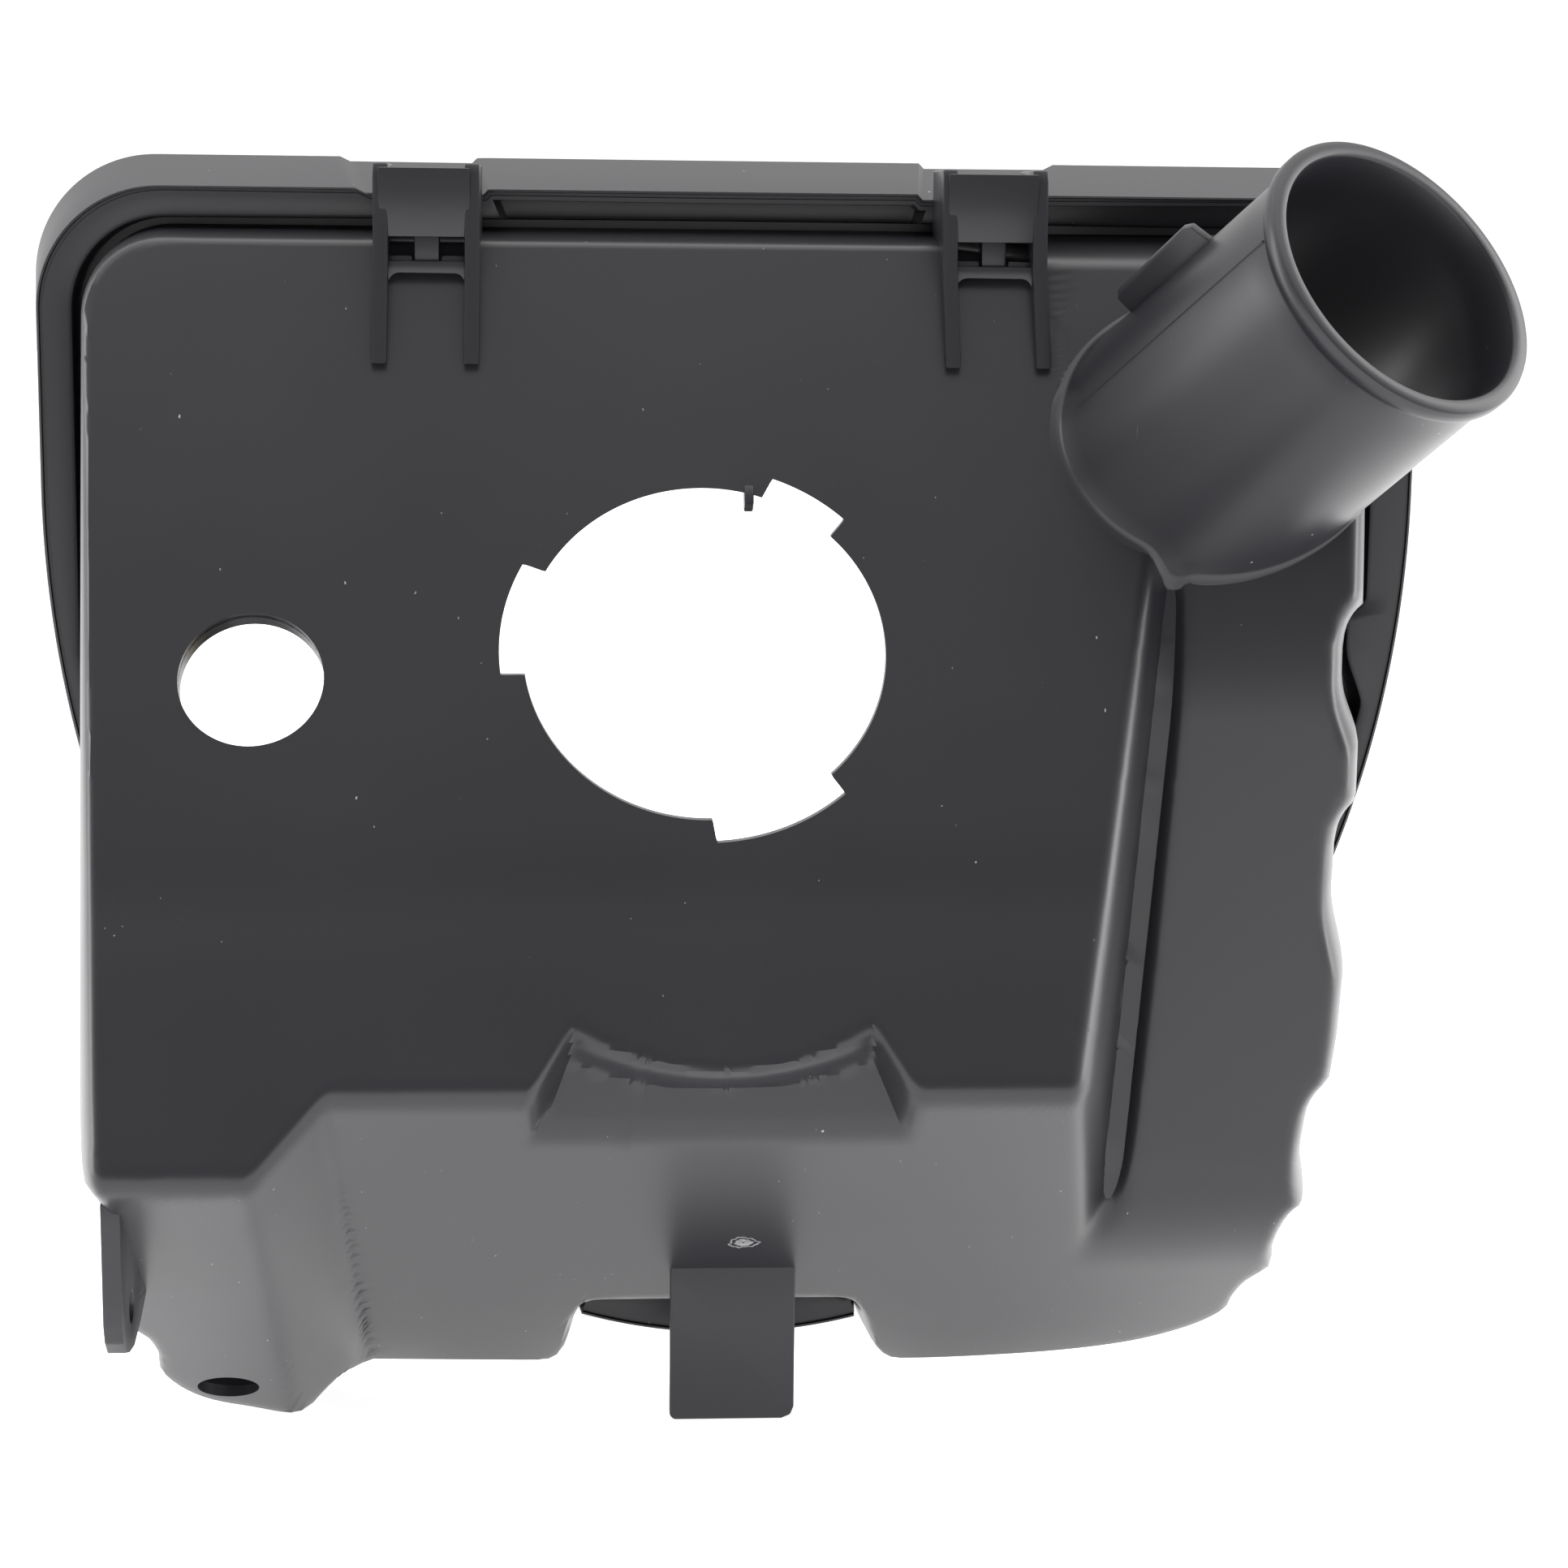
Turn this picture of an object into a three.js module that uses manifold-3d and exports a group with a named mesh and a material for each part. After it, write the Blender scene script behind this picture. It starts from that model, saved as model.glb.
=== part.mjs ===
// Air filter housing: a moulded base with an inlet snorkel, and its hinged cover with panel filter and latches.
// Millimetres, +Z up. X = 0 is the middle of the rim, Y = 0 the rim plane (the body lies on -Y), Z = 0 the floor.
import * as THREE from 'three';
import { mergeVertices } from 'three/addons/utils/BufferGeometryUtils.js';
import Module from 'manifold-3d';

const wasm = await Module();
wasm.setup();

// ---- driving dimensions ----
const wall = 2.4;                 // moulded wall
const gap = 0.3;                  // clearance between neighbouring nodes
const rimHalfWidth = 172;         // rim outer half width
const rimTop = 316;
const rimBottom = 16;
const rimCorner = 30;             // upper corner radius of the rim
const rimArchZ = rimTop - 80;     // the rim's lower part is half an ellipse about this height
const rimDepth = 22;              // skirt length, front to rear
const skirtFlareTop = 7.5;        // how far the skirt leans out over its length at the top
const skirtFlareSide = 3.2;
const flangeSide = 13;            // from the rim's edge in to the body
const flangeTop = 16;
const bodyHalfWidth = rimHalfWidth - flangeSide;
const bodyTop = rimTop - flangeTop;
const bodyCorner = 22;
const depthTop = 36;              // depth of the sloping wall's upper edge
const bodyLean = 0.618;           // how much deeper the sloping wall gets per mm down
const midFrontZ = 117;            // front lower edge, middle of the body
const midSlope = 0.767;           // drop of the middle bottom wall per mm back
const leftFrontZ = 100.5;         // front lower edge, left block
const leftSlope = 0.788;
const stepX = 67 - bodyHalfWidth; // where the left block steps up to the middle
const stepSteepness = 2;
const ductDepth = 82;             // depth of the right-hand duct panel
const ductFootX = bodyHalfWidth - 71; // foot of the block's right flank at the lower front edge
const ductFootLean = 0.075;
const ductFlank = 4.1;            // steepness of that flank
const sideDraftLeft = 0.08;
const sideDraftRight = 0.135;
const draftSplitX = 60;           // the right draft holds from here on
const edgeRound = 7;              // softness of the moulded edges
const boreX = -10.1;              // bayonet bore in the sloping wall
const boreZ = bodyTop - 94.1;
const boreRadius = 41;
const notchRadius = 46.4;
const notchAngles = [[48, 88], [172, 208], [290, 315]]; // degrees, clockwise from +X
const sideHoleX = 47.4 - bodyHalfWidth; // small round hole in the sloping wall
const sideHoleZ = bodyTop - 100.2;
const sideHoleRadius = 16.2;
const drainX = 34.7 - bodyHalfWidth;
const drainZ = 18.1;
const drainRadius = 7.5;
const snorkelRadius = 34.2;       // outside, at the mouth
const snorkelTaper = 0.017;       // how much wider the tube gets per mm from the mouth
const snorkelLipHeight = 1.6;
const snorkelLipLength = 4;
const snorkelWall = 2.6;
const snorkelSide = 50.7;         // from the body's side in to the tube's inner side, at the mouth
const snorkelMouth = new THREE.Vector3(
  bodyHalfWidth - snorkelSide + snorkelRadius, -depthTop - 70.5, bodyTop - 8.5);
const snorkelAxis = new THREE.Vector3(0.455, -0.686, 0.568).normalize();
const snorkelLength = 90;
const finLength = 30;             // stiffening fin along the snorkel
const finHeight = 6;
const finThick = 2.4;
const finFromMouth = 44;
const catchXs = { catch_left: -74.2, catch_right: 60 };
const catchWidth = 25;
const catchRib = 3.6;
const catchDrop = bodyTop - 31;   // lower end of the catch ribs
const catchStandOff = 9.6;        // cap plate in front of the sloping wall's upper edge
const catchLead = 1;              // cap plate and crossbar, in from the ribs' outer faces
const hookRoom = 5.6;             // free height under the cap plate for the latch's hook
const tabWidth = 30.5;
const tabY = -62;
const tabBottom = 11.4;
const tabThick = 4;
const earX = 20.7 - bodyHalfWidth;
const earThick = 4.2;
const leftFrontDepth = depthTop + bodyLean * (bodyTop - 2 - leftFrontZ);
const midFrontDepth = depthTop + bodyLean * (bodyTop - 2 - midFrontZ);
const earFrontY = 11 - leftFrontDepth;
const earHoleY = earFrontY + 14.7;
const earHoleZ = leftFrontZ - 34.3;
const earHoleRadius = 3.6;
const earMargin = 5.6;            // material around the hole
const grooveHeight = 5.5;         // slots in the rim flange's upper edge
const grooveEndX = 148;
const hingeXs = { left: -62, right: 62 };
const hingeY = 26;
const hingeZ = 6;
const hingeEyeRadius = 5.4;
const hingePinRadius = 2.5;
const hingeWidth = 10;            // one knuckle
const hingePlateLow = rimBottom - 9; // the bracket's plate on the rim plane, behind the lobes' edge
const hingePlateHigh = rimBottom + 3;
const coverDepth = 31;            // rim plane to outer face
const coverWall = 2.4;
const coverTaper = 2;             // draft of the cover wall over its depth
const coverBevel = 12;            // sloped edge around the cover's outer face
const coverGap = 0.6;             // between the rim plane and the cover's edge when shut
const sealWidth = 4;
const sealHeight = 6;
const latchWidth = 13.6;
const latchPivotY = 12;
const latchPivotZ = rimTop + 6.5;
const latchThick = 2.2;
const latchPinRadius = 2;
const latchEyeRadius = 4.2;
const filterHalfWidth = rimHalfWidth - 40;
const clipRoom = 3.5;             // from the filter's side out to the seal, at the lower clips
const sealInner = coverWall + coverTaper + gap + sealWidth;
const filterLow = rimArchZ - (rimArchZ - rimBottom - sealInner)
  * Math.sqrt(1 - ((filterHalfWidth + clipRoom) / (rimHalfWidth - sealInner)) ** 2);
const filterHigh = rimTop - 32;
const filterFrame = 12;
const filterDepth = 30;
const filterFront = -22;          // the filter's front face, in front of the rim plane
const filterCorner = 14;
const windowCorner = 5;
const screenBar = 1.2;            // half width of the support screen's bars
const clipLength = 12;
const clipThick = 1.2;
const clipReach = 9;              // over the filter frame's front face
const pleatPitch = 11;
const pleatDepth = filterDepth - 8;
const pleatThick = 1.6;
const coverOpenAngle = -Math.PI / 2;

// ---- materials ----
const plastic = (name) => new THREE.MeshStandardMaterial({ name, color: 0x2f2e31, roughness: 0.5 });
const steel = () => new THREE.MeshStandardMaterial({ name: 'steel', color: 0x9a9da1, roughness: 0.35, metalness: 1 });
const foam = () => new THREE.MeshStandardMaterial({ name: 'polyurethane', color: 0x3a3a3c, roughness: 0.8 });
const paper = () => new THREE.MeshStandardMaterial({ name: 'paper', color: 0xd9c9a0, roughness: 0.9 });
const rubber = () => new THREE.MeshStandardMaterial({ name: 'rubber', color: 0x1c1c1d, roughness: 0.75 });

// ---- helpers ----
function toSolid(geometry) {
  const g = geometry.clone();
  g.deleteAttribute('normal');
  g.deleteAttribute('uv');
  const merged = mergeVertices(g, 1e-4);
  return new wasm.Manifold(new wasm.Mesh({
    numProp: 3,
    vertProperties: new Float32Array(merged.attributes.position.array),
    triVerts: new Uint32Array(merged.index.array),
  }));
}

function toGeometry(solid) {
  const mesh = solid.getMesh();
  const points = new Float32Array((mesh.vertProperties.length / mesh.numProp) * 3);
  for (let i = 0; i < points.length / 3; i += 1) {
    points.set(mesh.vertProperties.subarray(i * mesh.numProp, i * mesh.numProp + 3), i * 3);
  }
  const g = new THREE.BufferGeometry();
  g.setAttribute('position', new THREE.BufferAttribute(points, 3));
  g.setIndex(new THREE.BufferAttribute(new Uint32Array(mesh.triVerts), 1));
  return g;
}

function box(x0, x1, y0, y1, z0, z1) {
  const g = new THREE.BoxGeometry(x1 - x0, y1 - y0, z1 - z0);
  g.translate((x0 + x1) / 2, (y0 + y1) / 2, (z0 + z1) / 2);
  return toSolid(g);
}

// A cylinder from point a along direction d, or a cone where its end radius differs.
function rod(a, d, length, radius, sides = 40, endRadius = radius) {
  const g = new THREE.CylinderGeometry(endRadius, radius, length, sides);
  g.translate(0, length / 2, 0);
  g.applyQuaternion(new THREE.Quaternion().setFromUnitVectors(new THREE.Vector3(0, 1, 0), d.clone().normalize()));
  g.translate(a.x, a.y, a.z);
  return toSolid(g);
}

// An outline in X and Z, extruded from y0 to y1.
function slab(shape, y0, y1, curveSegments = 10) {
  const g = new THREE.ExtrudeGeometry(shape, { depth: y1 - y0, bevelEnabled: false, curveSegments });
  g.rotateX(Math.PI / 2);
  g.translate(0, y1, 0);
  return toSolid(g);
}

// An outline in Y and Z, extruded from x0 to x1.
function profile(points, x0, x1) {
  const shape = new THREE.Shape(points.map(([y, z]) => new THREE.Vector2(y, z)));
  const g = new THREE.ExtrudeGeometry(shape, { depth: x1 - x0, bevelEnabled: false });
  g.applyMatrix4(new THREE.Matrix4().makeBasis(
    new THREE.Vector3(0, 1, 0), new THREE.Vector3(0, 0, 1), new THREE.Vector3(1, 0, 0)));
  g.translate(x0, 0, 0);
  return toSolid(g);
}

function roundedOutline(half, low, high, round) {
  const s = new THREE.Shape();
  s.moveTo(-half, high - round);
  s.lineTo(-half, low + round);
  s.absarc(-half + round, low + round, round, Math.PI, Math.PI * 1.5, false);
  s.absarc(half - round, low + round, round, Math.PI * 1.5, Math.PI * 2, false);
  s.absarc(half - round, high - round, round, 0, Math.PI / 2, false);
  s.absarc(-half + round, high - round, round, Math.PI / 2, Math.PI, false);
  return s;
}

// The rim's outline: straight sides and round upper corners over an arch.
function archOutline(half, low, high, topRound) {
  const s = new THREE.Shape();
  s.moveTo(-half, high - topRound);
  for (const part of [3, 4, 5]) {
    s.absellipse(0, rimArchZ, half, rimArchZ - low, (part * Math.PI) / 3, ((part + 1) * Math.PI) / 3, false);
  }
  s.absarc(half - topRound, high - topRound, topRound, 0, Math.PI / 2, false);
  s.absarc(-half + topRound, high - topRound, topRound, Math.PI / 2, Math.PI, false);
  return s;
}

// How low the rim reaches at a distance x from its middle.
const archLow = (x) => rimArchZ - (rimArchZ - rimBottom) * Math.sqrt(1 - (x / rimHalfWidth) ** 2);

const group = new THREE.Group();
function put(name, solid, material, parent = group) {
  const mesh = new THREE.Mesh(toGeometry(solid), material);
  mesh.name = name;
  parent.add(mesh);
  return mesh;
}

// ---- body form ----
// The outline of the body at the rim plane: straight sides, a lobe at the lower left, two rear lobes and a notch.
function bodyOutline(grow) {
  const side = bodyHalfWidth;
  const h = side + grow;
  const top = bodyTop + grow;
  const g = grow;
  const s = new THREE.Shape();
  s.moveTo(-h, top - bodyCorner);
  s.lineTo(-h, 130);
  s.bezierCurveTo(-h, 90, 1 - h, 52, 11 - h, 28);
  s.bezierCurveTo(16 - h, 14, 23 - h, 7 - g, 36 - side, 4 - g);
  s.bezierCurveTo(42 - side, 2 - g, 46 - side, -g, 51 - side, -g);
  s.bezierCurveTo(56 - side, -g, 57 - side, 6 - g, 62 - side, 7 - g);
  s.lineTo(-48, 5.5 - g);
  s.bezierCurveTo(-38 + g, 6 - g, -40 + g, 31 - g, -33 + g, 31 - g);
  s.lineTo(26 - g, 31 - g);
  s.bezierCurveTo(33 - g, 31 - g, 36 - g, 5 - g, 46, 4.5 - g);
  s.bezierCurveTo(side - 79, 4 - g, side - 49, 8 - g, h - 33, 18 - g);
  s.bezierCurveTo(h - 13, 30 - g, h - 7, 70, h - 2, 110);
  s.lineTo(h, 150);
  s.lineTo(h, top - bodyCorner);
  s.absarc(h - bodyCorner, top - bodyCorner, bodyCorner, 0, Math.PI / 2, false);
  s.absarc(-h + bodyCorner, top - bodyCorner, bodyCorner, Math.PI / 2, Math.PI, false);
  return s;
}

function softMin(a, b, r) {
  const k = Math.max(r - Math.abs(a - b), 0) / r;
  return Math.min(a, b) - k * k * r / 4;
}

// Depth of the body in front of the rim plane, at distance d inside the outline: the softened least of its planes.
// inset moves every plane inward by that much, measured square to it.
function bodyDepth(x, z, d, draft, inset) {
  const lean = Math.hypot(1, bodyLean);
  const main = depthTop + bodyLean * (bodyTop - 2 - z) - inset * lean;
  const mid = midFrontDepth - (midFrontZ - z) / midSlope - inset * Math.hypot(1, 1 / midSlope);
  const left = leftFrontDepth - (leftFrontZ - z) / leftSlope - inset * Math.hypot(1, 1 / leftSlope);
  const bottom = Math.max(Math.min(left, mid + stepSteepness * Math.max(0, stepX - inset - x)), 0);
  const foot = ductFootX - inset + (z - midFrontZ) * ductFootLean;
  const flank = ductDepth - inset + Math.max(0, (foot - x) * ductFlank);
  return softMin(softMin(softMin(main, bottom, edgeRound), flank, edgeRound), d / draft, edgeRound);
}

// Least distance from a point to a closed outline.
function outlineDistance(point, outline) {
  let least = Infinity;
  for (let i = 0; i < outline.length; i += 1) {
    const a = outline[i];
    const along = outline[(i + 1) % outline.length].clone().sub(a);
    const t = THREE.MathUtils.clamp(point.clone().sub(a).dot(along) / along.lengthSq(), 0, 1);
    least = Math.min(least, point.distanceTo(a.clone().addScaledVector(along, t)));
  }
  return least;
}

const bodyCentre = new THREE.Vector2(boreX, boreZ);
const skinRings = [0, 0.01, 0.025, 0.045, 0.07, 0.1, 0.15, 0.21, 0.28, 0.35, 0.42, 0.49, 0.57, 0.67, 0.8];
const skinSteps = 116;
const arcSteps = 10;

// The closed body: rings of points from the outline in to the middle, at the depth that bodyDepth gives.
// inset draws the outline and every plane in by that much, and backY is where the open side is closed off.
function bodySkin(inset, backY) {
  const points = bodyOutline(-inset).getSpacedPoints(skinSteps);
  points.pop();
  const n = points.length;
  const verts = [];
  for (const t of skinRings) {
    for (let i = 0; i < n; i += 1) {
      const p = points[i];
      const q = p.clone().lerp(bodyCentre, t);
      const draft = q.x > draftSplitX ? sideDraftRight : sideDraftLeft;
      const depth = Math.max(bodyDepth(q.x, q.y, outlineDistance(q, points), draft, inset), 0.2 + t);
      verts.push(q.x, t === 0 ? backY : -depth, q.y);
    }
  }
  const front = verts.length / 3;
  verts.push(bodyCentre.x, -bodyDepth(bodyCentre.x, bodyCentre.y, 1e3, 1, inset), bodyCentre.y);
  const back = front + 1;
  verts.push(bodyCentre.x, backY, bodyCentre.y);
  const faces = [];
  for (let r = 0; r + 1 < skinRings.length; r += 1) {
    for (let i = 0; i < n; i += 1) {
      const j = (i + 1) % n;
      faces.push(r * n + i, r * n + j, (r + 1) * n + j, r * n + i, (r + 1) * n + j, (r + 1) * n + i);
    }
  }
  const last = (skinRings.length - 1) * n;
  for (let i = 0; i < n; i += 1) {
    const j = (i + 1) % n;
    faces.push(last + i, last + j, front);
    faces.push(j, i, back);
  }
  const g = new THREE.BufferGeometry();
  g.setAttribute('position', new THREE.BufferAttribute(new Float32Array(verts), 3));
  g.setIndex(faces);
  return toSolid(g);
}

// A solid between two outlines with the same number of points, at y0 and y1.
function loft(shape0, shape1, y0, y1) {
  const a = shape0.getPoints(arcSteps);
  const b = shape1.getPoints(arcSteps);
  const verts = [];
  a.forEach((p) => verts.push(p.x, y0, p.y));
  b.forEach((p) => verts.push(p.x, y1, p.y));
  const n = a.length;
  const middle = (rimTop + rimBottom) / 2;
  verts.push(0, y0, middle, 0, y1, middle);
  const faces = [];
  for (let i = 0; i < n; i += 1) {
    const j = (i + 1) % n;
    faces.push(i, n + j, j, i, n + i, n + j);
    faces.push(i, j, 2 * n, n + j, n + i, 2 * n + 1);
  }
  const g = new THREE.BufferGeometry();
  g.setAttribute('position', new THREE.BufferAttribute(new Float32Array(verts), 3));
  g.setIndex(faces);
  return toSolid(g);
}

// ---- housing ----
const mainY = (z) => -(depthTop + bodyLean * (bodyTop - 2 - z));
const mainNormal = new THREE.Vector3(0, -1, bodyLean).normalize();
const bottomNormal = new THREE.Vector3(0, -leftSlope, -1).normalize();
const skin = bodySkin(0, 0);
const skinClear = bodySkin(-gap, 0);
const rimFront = (inset) => archOutline(
  rimHalfWidth - skirtFlareSide - inset, rimBottom + skirtFlareSide + inset,
  rimTop - skirtFlareTop - inset, rimCorner - inset);
const rimBack = (inset) => archOutline(rimHalfWidth - inset, rimBottom + inset, rimTop - inset, rimCorner - inset);
// The lobes that hang below the rim have a back wall in the rim plane.
const backWall = box(-rimHalfWidth - 1, rimHalfWidth + 1, -wall, 3, -1, rimTop + 1)
  .subtract(slab(rimBack(wall), -wall - 1, 4));
const cavity = bodySkin(wall, 2).subtract(backWall);
const rim = loft(rimFront(0), rimBack(0), -rimDepth, 0)
  .subtract(loft(rimFront(wall), rimBack(wall), -rimDepth + wall, 2));

// A straight hole through the sloping wall, normal to it.
function wallHole(x, z, radius, length = 30) {
  const centre = new THREE.Vector3(x, mainY(z), z);
  return rod(centre.addScaledVector(mainNormal, -length / 2), mainNormal, length, radius, 64);
}

// The bayonet bore: a round hole with three lug notches.
function bayonet() {
  const s = new THREE.Shape();
  const steps = 180;
  for (let i = 0; i < steps; i += 1) {
    const a = (i * 360) / steps;
    const wide = notchAngles.some(([from, to]) => a >= from && a <= to);
    const r = wide ? notchRadius : boreRadius;
    const t = (-a * Math.PI) / 180;
    if (i === 0) s.moveTo(r * Math.cos(t), r * Math.sin(t));
    else s.lineTo(r * Math.cos(t), r * Math.sin(t));
  }
  const g = new THREE.ExtrudeGeometry(s, { depth: 30, bevelEnabled: false });
  g.translate(0, 0, -15);
  const up = new THREE.Vector3(0, bodyLean, 1).normalize();
  g.applyMatrix4(new THREE.Matrix4().makeBasis(new THREE.Vector3(1, 0, 0), up, mainNormal));
  g.translate(boreX, mainY(boreZ), boreZ);
  return toSolid(g);
}

const snorkelBack = snorkelMouth.clone().addScaledVector(snorkelAxis, -snorkelLength);
const tubeRadius = (fromMouth) => snorkelRadius + snorkelTaper * fromMouth;
const snorkelBore = rod(snorkelBack, snorkelAxis, snorkelLength + 1, tubeRadius(snorkelLength) + gap, 56,
  tubeRadius(-1) + gap);
const leftY = (z) => -leftFrontDepth + (leftFrontZ - z) / leftSlope;
const drainCentre = new THREE.Vector3(drainX, leftY(drainZ), drainZ);
const drain = rod(drainCentre.addScaledVector(bottomNormal, -12), bottomNormal, 24, drainRadius, 32);

const catchReach = catchWidth / 2 + wall;
const grooveLow = bodyTop + wall / 2;
const grooves = [
  [catchXs.catch_left + catchReach, catchXs.catch_right - catchReach], [catchXs.catch_right + catchReach, grooveEndX],
].map(([x0, x1]) => box(x0, x1, -rimDepth - 1, -rimDepth + wall / 2, grooveLow, grooveLow + grooveHeight));
let shell = skin.add(rim).subtract(cavity).subtract(bayonet());
shell = shell.subtract(wallHole(sideHoleX, sideHoleZ, sideHoleRadius)).subtract(snorkelBore).subtract(drain);
grooves.forEach((g) => { shell = shell.subtract(g); });
put('housing_shell', shell, plastic('polypropylene'));

// inlet snorkel: a tube with a rolled lip, cut to the body's inner face
const tubeEnd = tubeRadius(snorkelLength);
const lipStart = snorkelLength - snorkelLipLength;
const boreAtMouth = snorkelRadius - snorkelWall;
const lipOuter = snorkelRadius + snorkelLipHeight;
const lipProfile = [
  [tubeEnd - snorkelWall, 0], [tubeEnd, 0], [tubeRadius(snorkelLipLength + 1), lipStart - 1],
  [lipOuter, lipStart], [lipOuter, snorkelLength - 1], [lipOuter - 1, snorkelLength],
  [boreAtMouth + 0.6, snorkelLength], [boreAtMouth, snorkelLength - 0.8],
  [tubeEnd - snorkelWall, 0],
].map(([r, y]) => new THREE.Vector2(r, y));
const tube = new THREE.LatheGeometry(lipProfile, 56);
tube.applyQuaternion(new THREE.Quaternion().setFromUnitVectors(new THREE.Vector3(0, 1, 0), snorkelAxis));
tube.translate(snorkelBack.x, snorkelBack.y, snorkelBack.z);
const behindSkin = bodySkin(wall + gap, 2);
const snorkel = toSolid(tube).subtract(behindSkin);
put('inlet_snorkel', snorkel, plastic('polypropylene'));

// stiffening fin on the snorkel's upper side, in the plane of its axis
const finFrame = new THREE.Matrix4();
const finOut = new THREE.Vector3(-0.62, -0.05, 0.78).cross(snorkelAxis).cross(snorkelAxis).negate().normalize();
finFrame.makeBasis(snorkelAxis, finOut, snorkelAxis.clone().cross(finOut));
const fin = new THREE.BoxGeometry(finLength, finHeight, finThick);
fin.translate(0, tubeRadius(finFromMouth + finLength / 2) + gap + finHeight / 2, 0);
fin.applyMatrix4(finFrame);
const finPlace = snorkelMouth.clone().addScaledVector(snorkelAxis, -finFromMouth);
fin.translate(finPlace.x, finPlace.y, finPlace.z);
put('snorkel_fin', toSolid(fin), plastic('polypropylene'));

// cover catches: two ribs down the sloping wall, a cap plate that the latch hooks under, and a crossbar
const capFront = mainY(bodyTop) - catchStandOff;
const capLow = bodyTop - 3;
const catchTop = rimTop - 1.5;
const crossbarTop = capLow - hookRoom;
for (const [name, x] of Object.entries(catchXs)) {
  const half = catchWidth / 2;
  const lead = half - catchLead;
  const rib = [
    [-rimDepth - gap, catchTop], [capFront + 3, catchTop], [capFront, catchTop - 3], [capFront - 1.5, crossbarTop],
    [mainY(catchDrop) - 2, catchDrop], [mainY(catchDrop) + 6, catchDrop], [-rimDepth - gap, bodyTop - 12],
  ];
  let part = profile(rib, x - half, x - half + catchRib).add(profile(rib, x + half - catchRib, x + half));
  part = part.add(box(x - lead, x + lead, capFront, capFront + 2.5, capLow, catchTop - 1));
  part = part.add(box(x - lead, x + lead, capFront, -rimDepth - gap, catchTop - 3, catchTop - 0.6));
  part = part.add(box(x - lead, x + lead, capFront, capFront + 3, crossbarTop - 2.6, crossbarTop));
  put(name, part.subtract(skinClear), plastic('polypropylene'));
}

// lower mounting tab, upright, with its root in the bottom wall
const tabRoot = midFrontZ - (midFrontDepth + tabY) * midSlope + 8;
put('mounting_tab', box(-1 - tabWidth / 2, -1 + tabWidth / 2, tabY, tabY + tabThick, tabBottom, tabRoot)
  .subtract(skinClear), plastic('polypropylene'));

// side mounting ear with its bolt hole
const earLowZ = earHoleZ - earHoleRadius - earMargin;
const earOutline = [
  [earFrontY, leftFrontZ - 8], [earFrontY, earHoleZ], [earFrontY + 4, earLowZ + 3], [earHoleY - 3, earLowZ + 0.6],
  [earHoleY + 3, earLowZ], [earHoleY + 30, earLowZ + 6], [earHoleY + 40, earLowZ + 20], [earFrontY + 10, leftFrontZ + 6],
];
const ear = profile(earOutline, earX - earThick / 2, earX + earThick / 2)
  .subtract(rod(new THREE.Vector3(earX - 10, earHoleY, earHoleZ), new THREE.Vector3(1, 0, 0), 20, earHoleRadius, 32))
  .subtract(skinClear);
put('mounting_ear', ear, plastic('polypropylene'));

// ---- cover hinge on the housing ----
const alongX = new THREE.Vector3(1, 0, 0);
const axisAt = (x) => new THREE.Vector3(x, hingeY, hingeZ);
for (const [side, x] of Object.entries(hingeXs)) {
  const arm = [
    [gap + 0.2, hingePlateLow], [hingeY, hingeZ - hingeEyeRadius], [hingeY, hingeZ + hingeEyeRadius],
    [gap + 0.2, hingePlateHigh],
  ];
  let bracket = box(x - 1.8 * hingeWidth, x + 1.8 * hingeWidth, gap + 0.1, gap + 2.8, hingePlateLow, hingePlateHigh);
  for (const end of [-1, 1]) {
    const x0 = x + end * (hingeWidth / 2 + gap) + (end < 0 ? -hingeWidth / 2 : 0);
    const x1 = x0 + hingeWidth / 2;
    bracket = bracket.add(profile(arm, x0, x1)).add(rod(axisAt(x0), alongX, hingeWidth / 2, hingeEyeRadius));
  }
  const pinLength = 2 * hingeWidth + 4;
  bracket = bracket.subtract(rod(axisAt(x - 25), alongX, 50, hingePinRadius + gap));
  put(`hinge_bracket_${side}`, bracket, plastic('polypropylene'));
  put(`hinge_pin_${side}`, rod(axisAt(x - pinLength / 2), alongX, pinLength, hingePinRadius, 28), steel());
}

// ---- cover, built shut and then swung open about the hinge ----
const coverPivot = new THREE.Group();
coverPivot.position.set(0, hingeY, hingeZ);
coverPivot.rotation.x = coverOpenAngle;
const cover = new THREE.Group();
cover.position.set(0, -hingeY, -hingeZ);
coverPivot.add(cover);
group.add(coverPivot);

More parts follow.
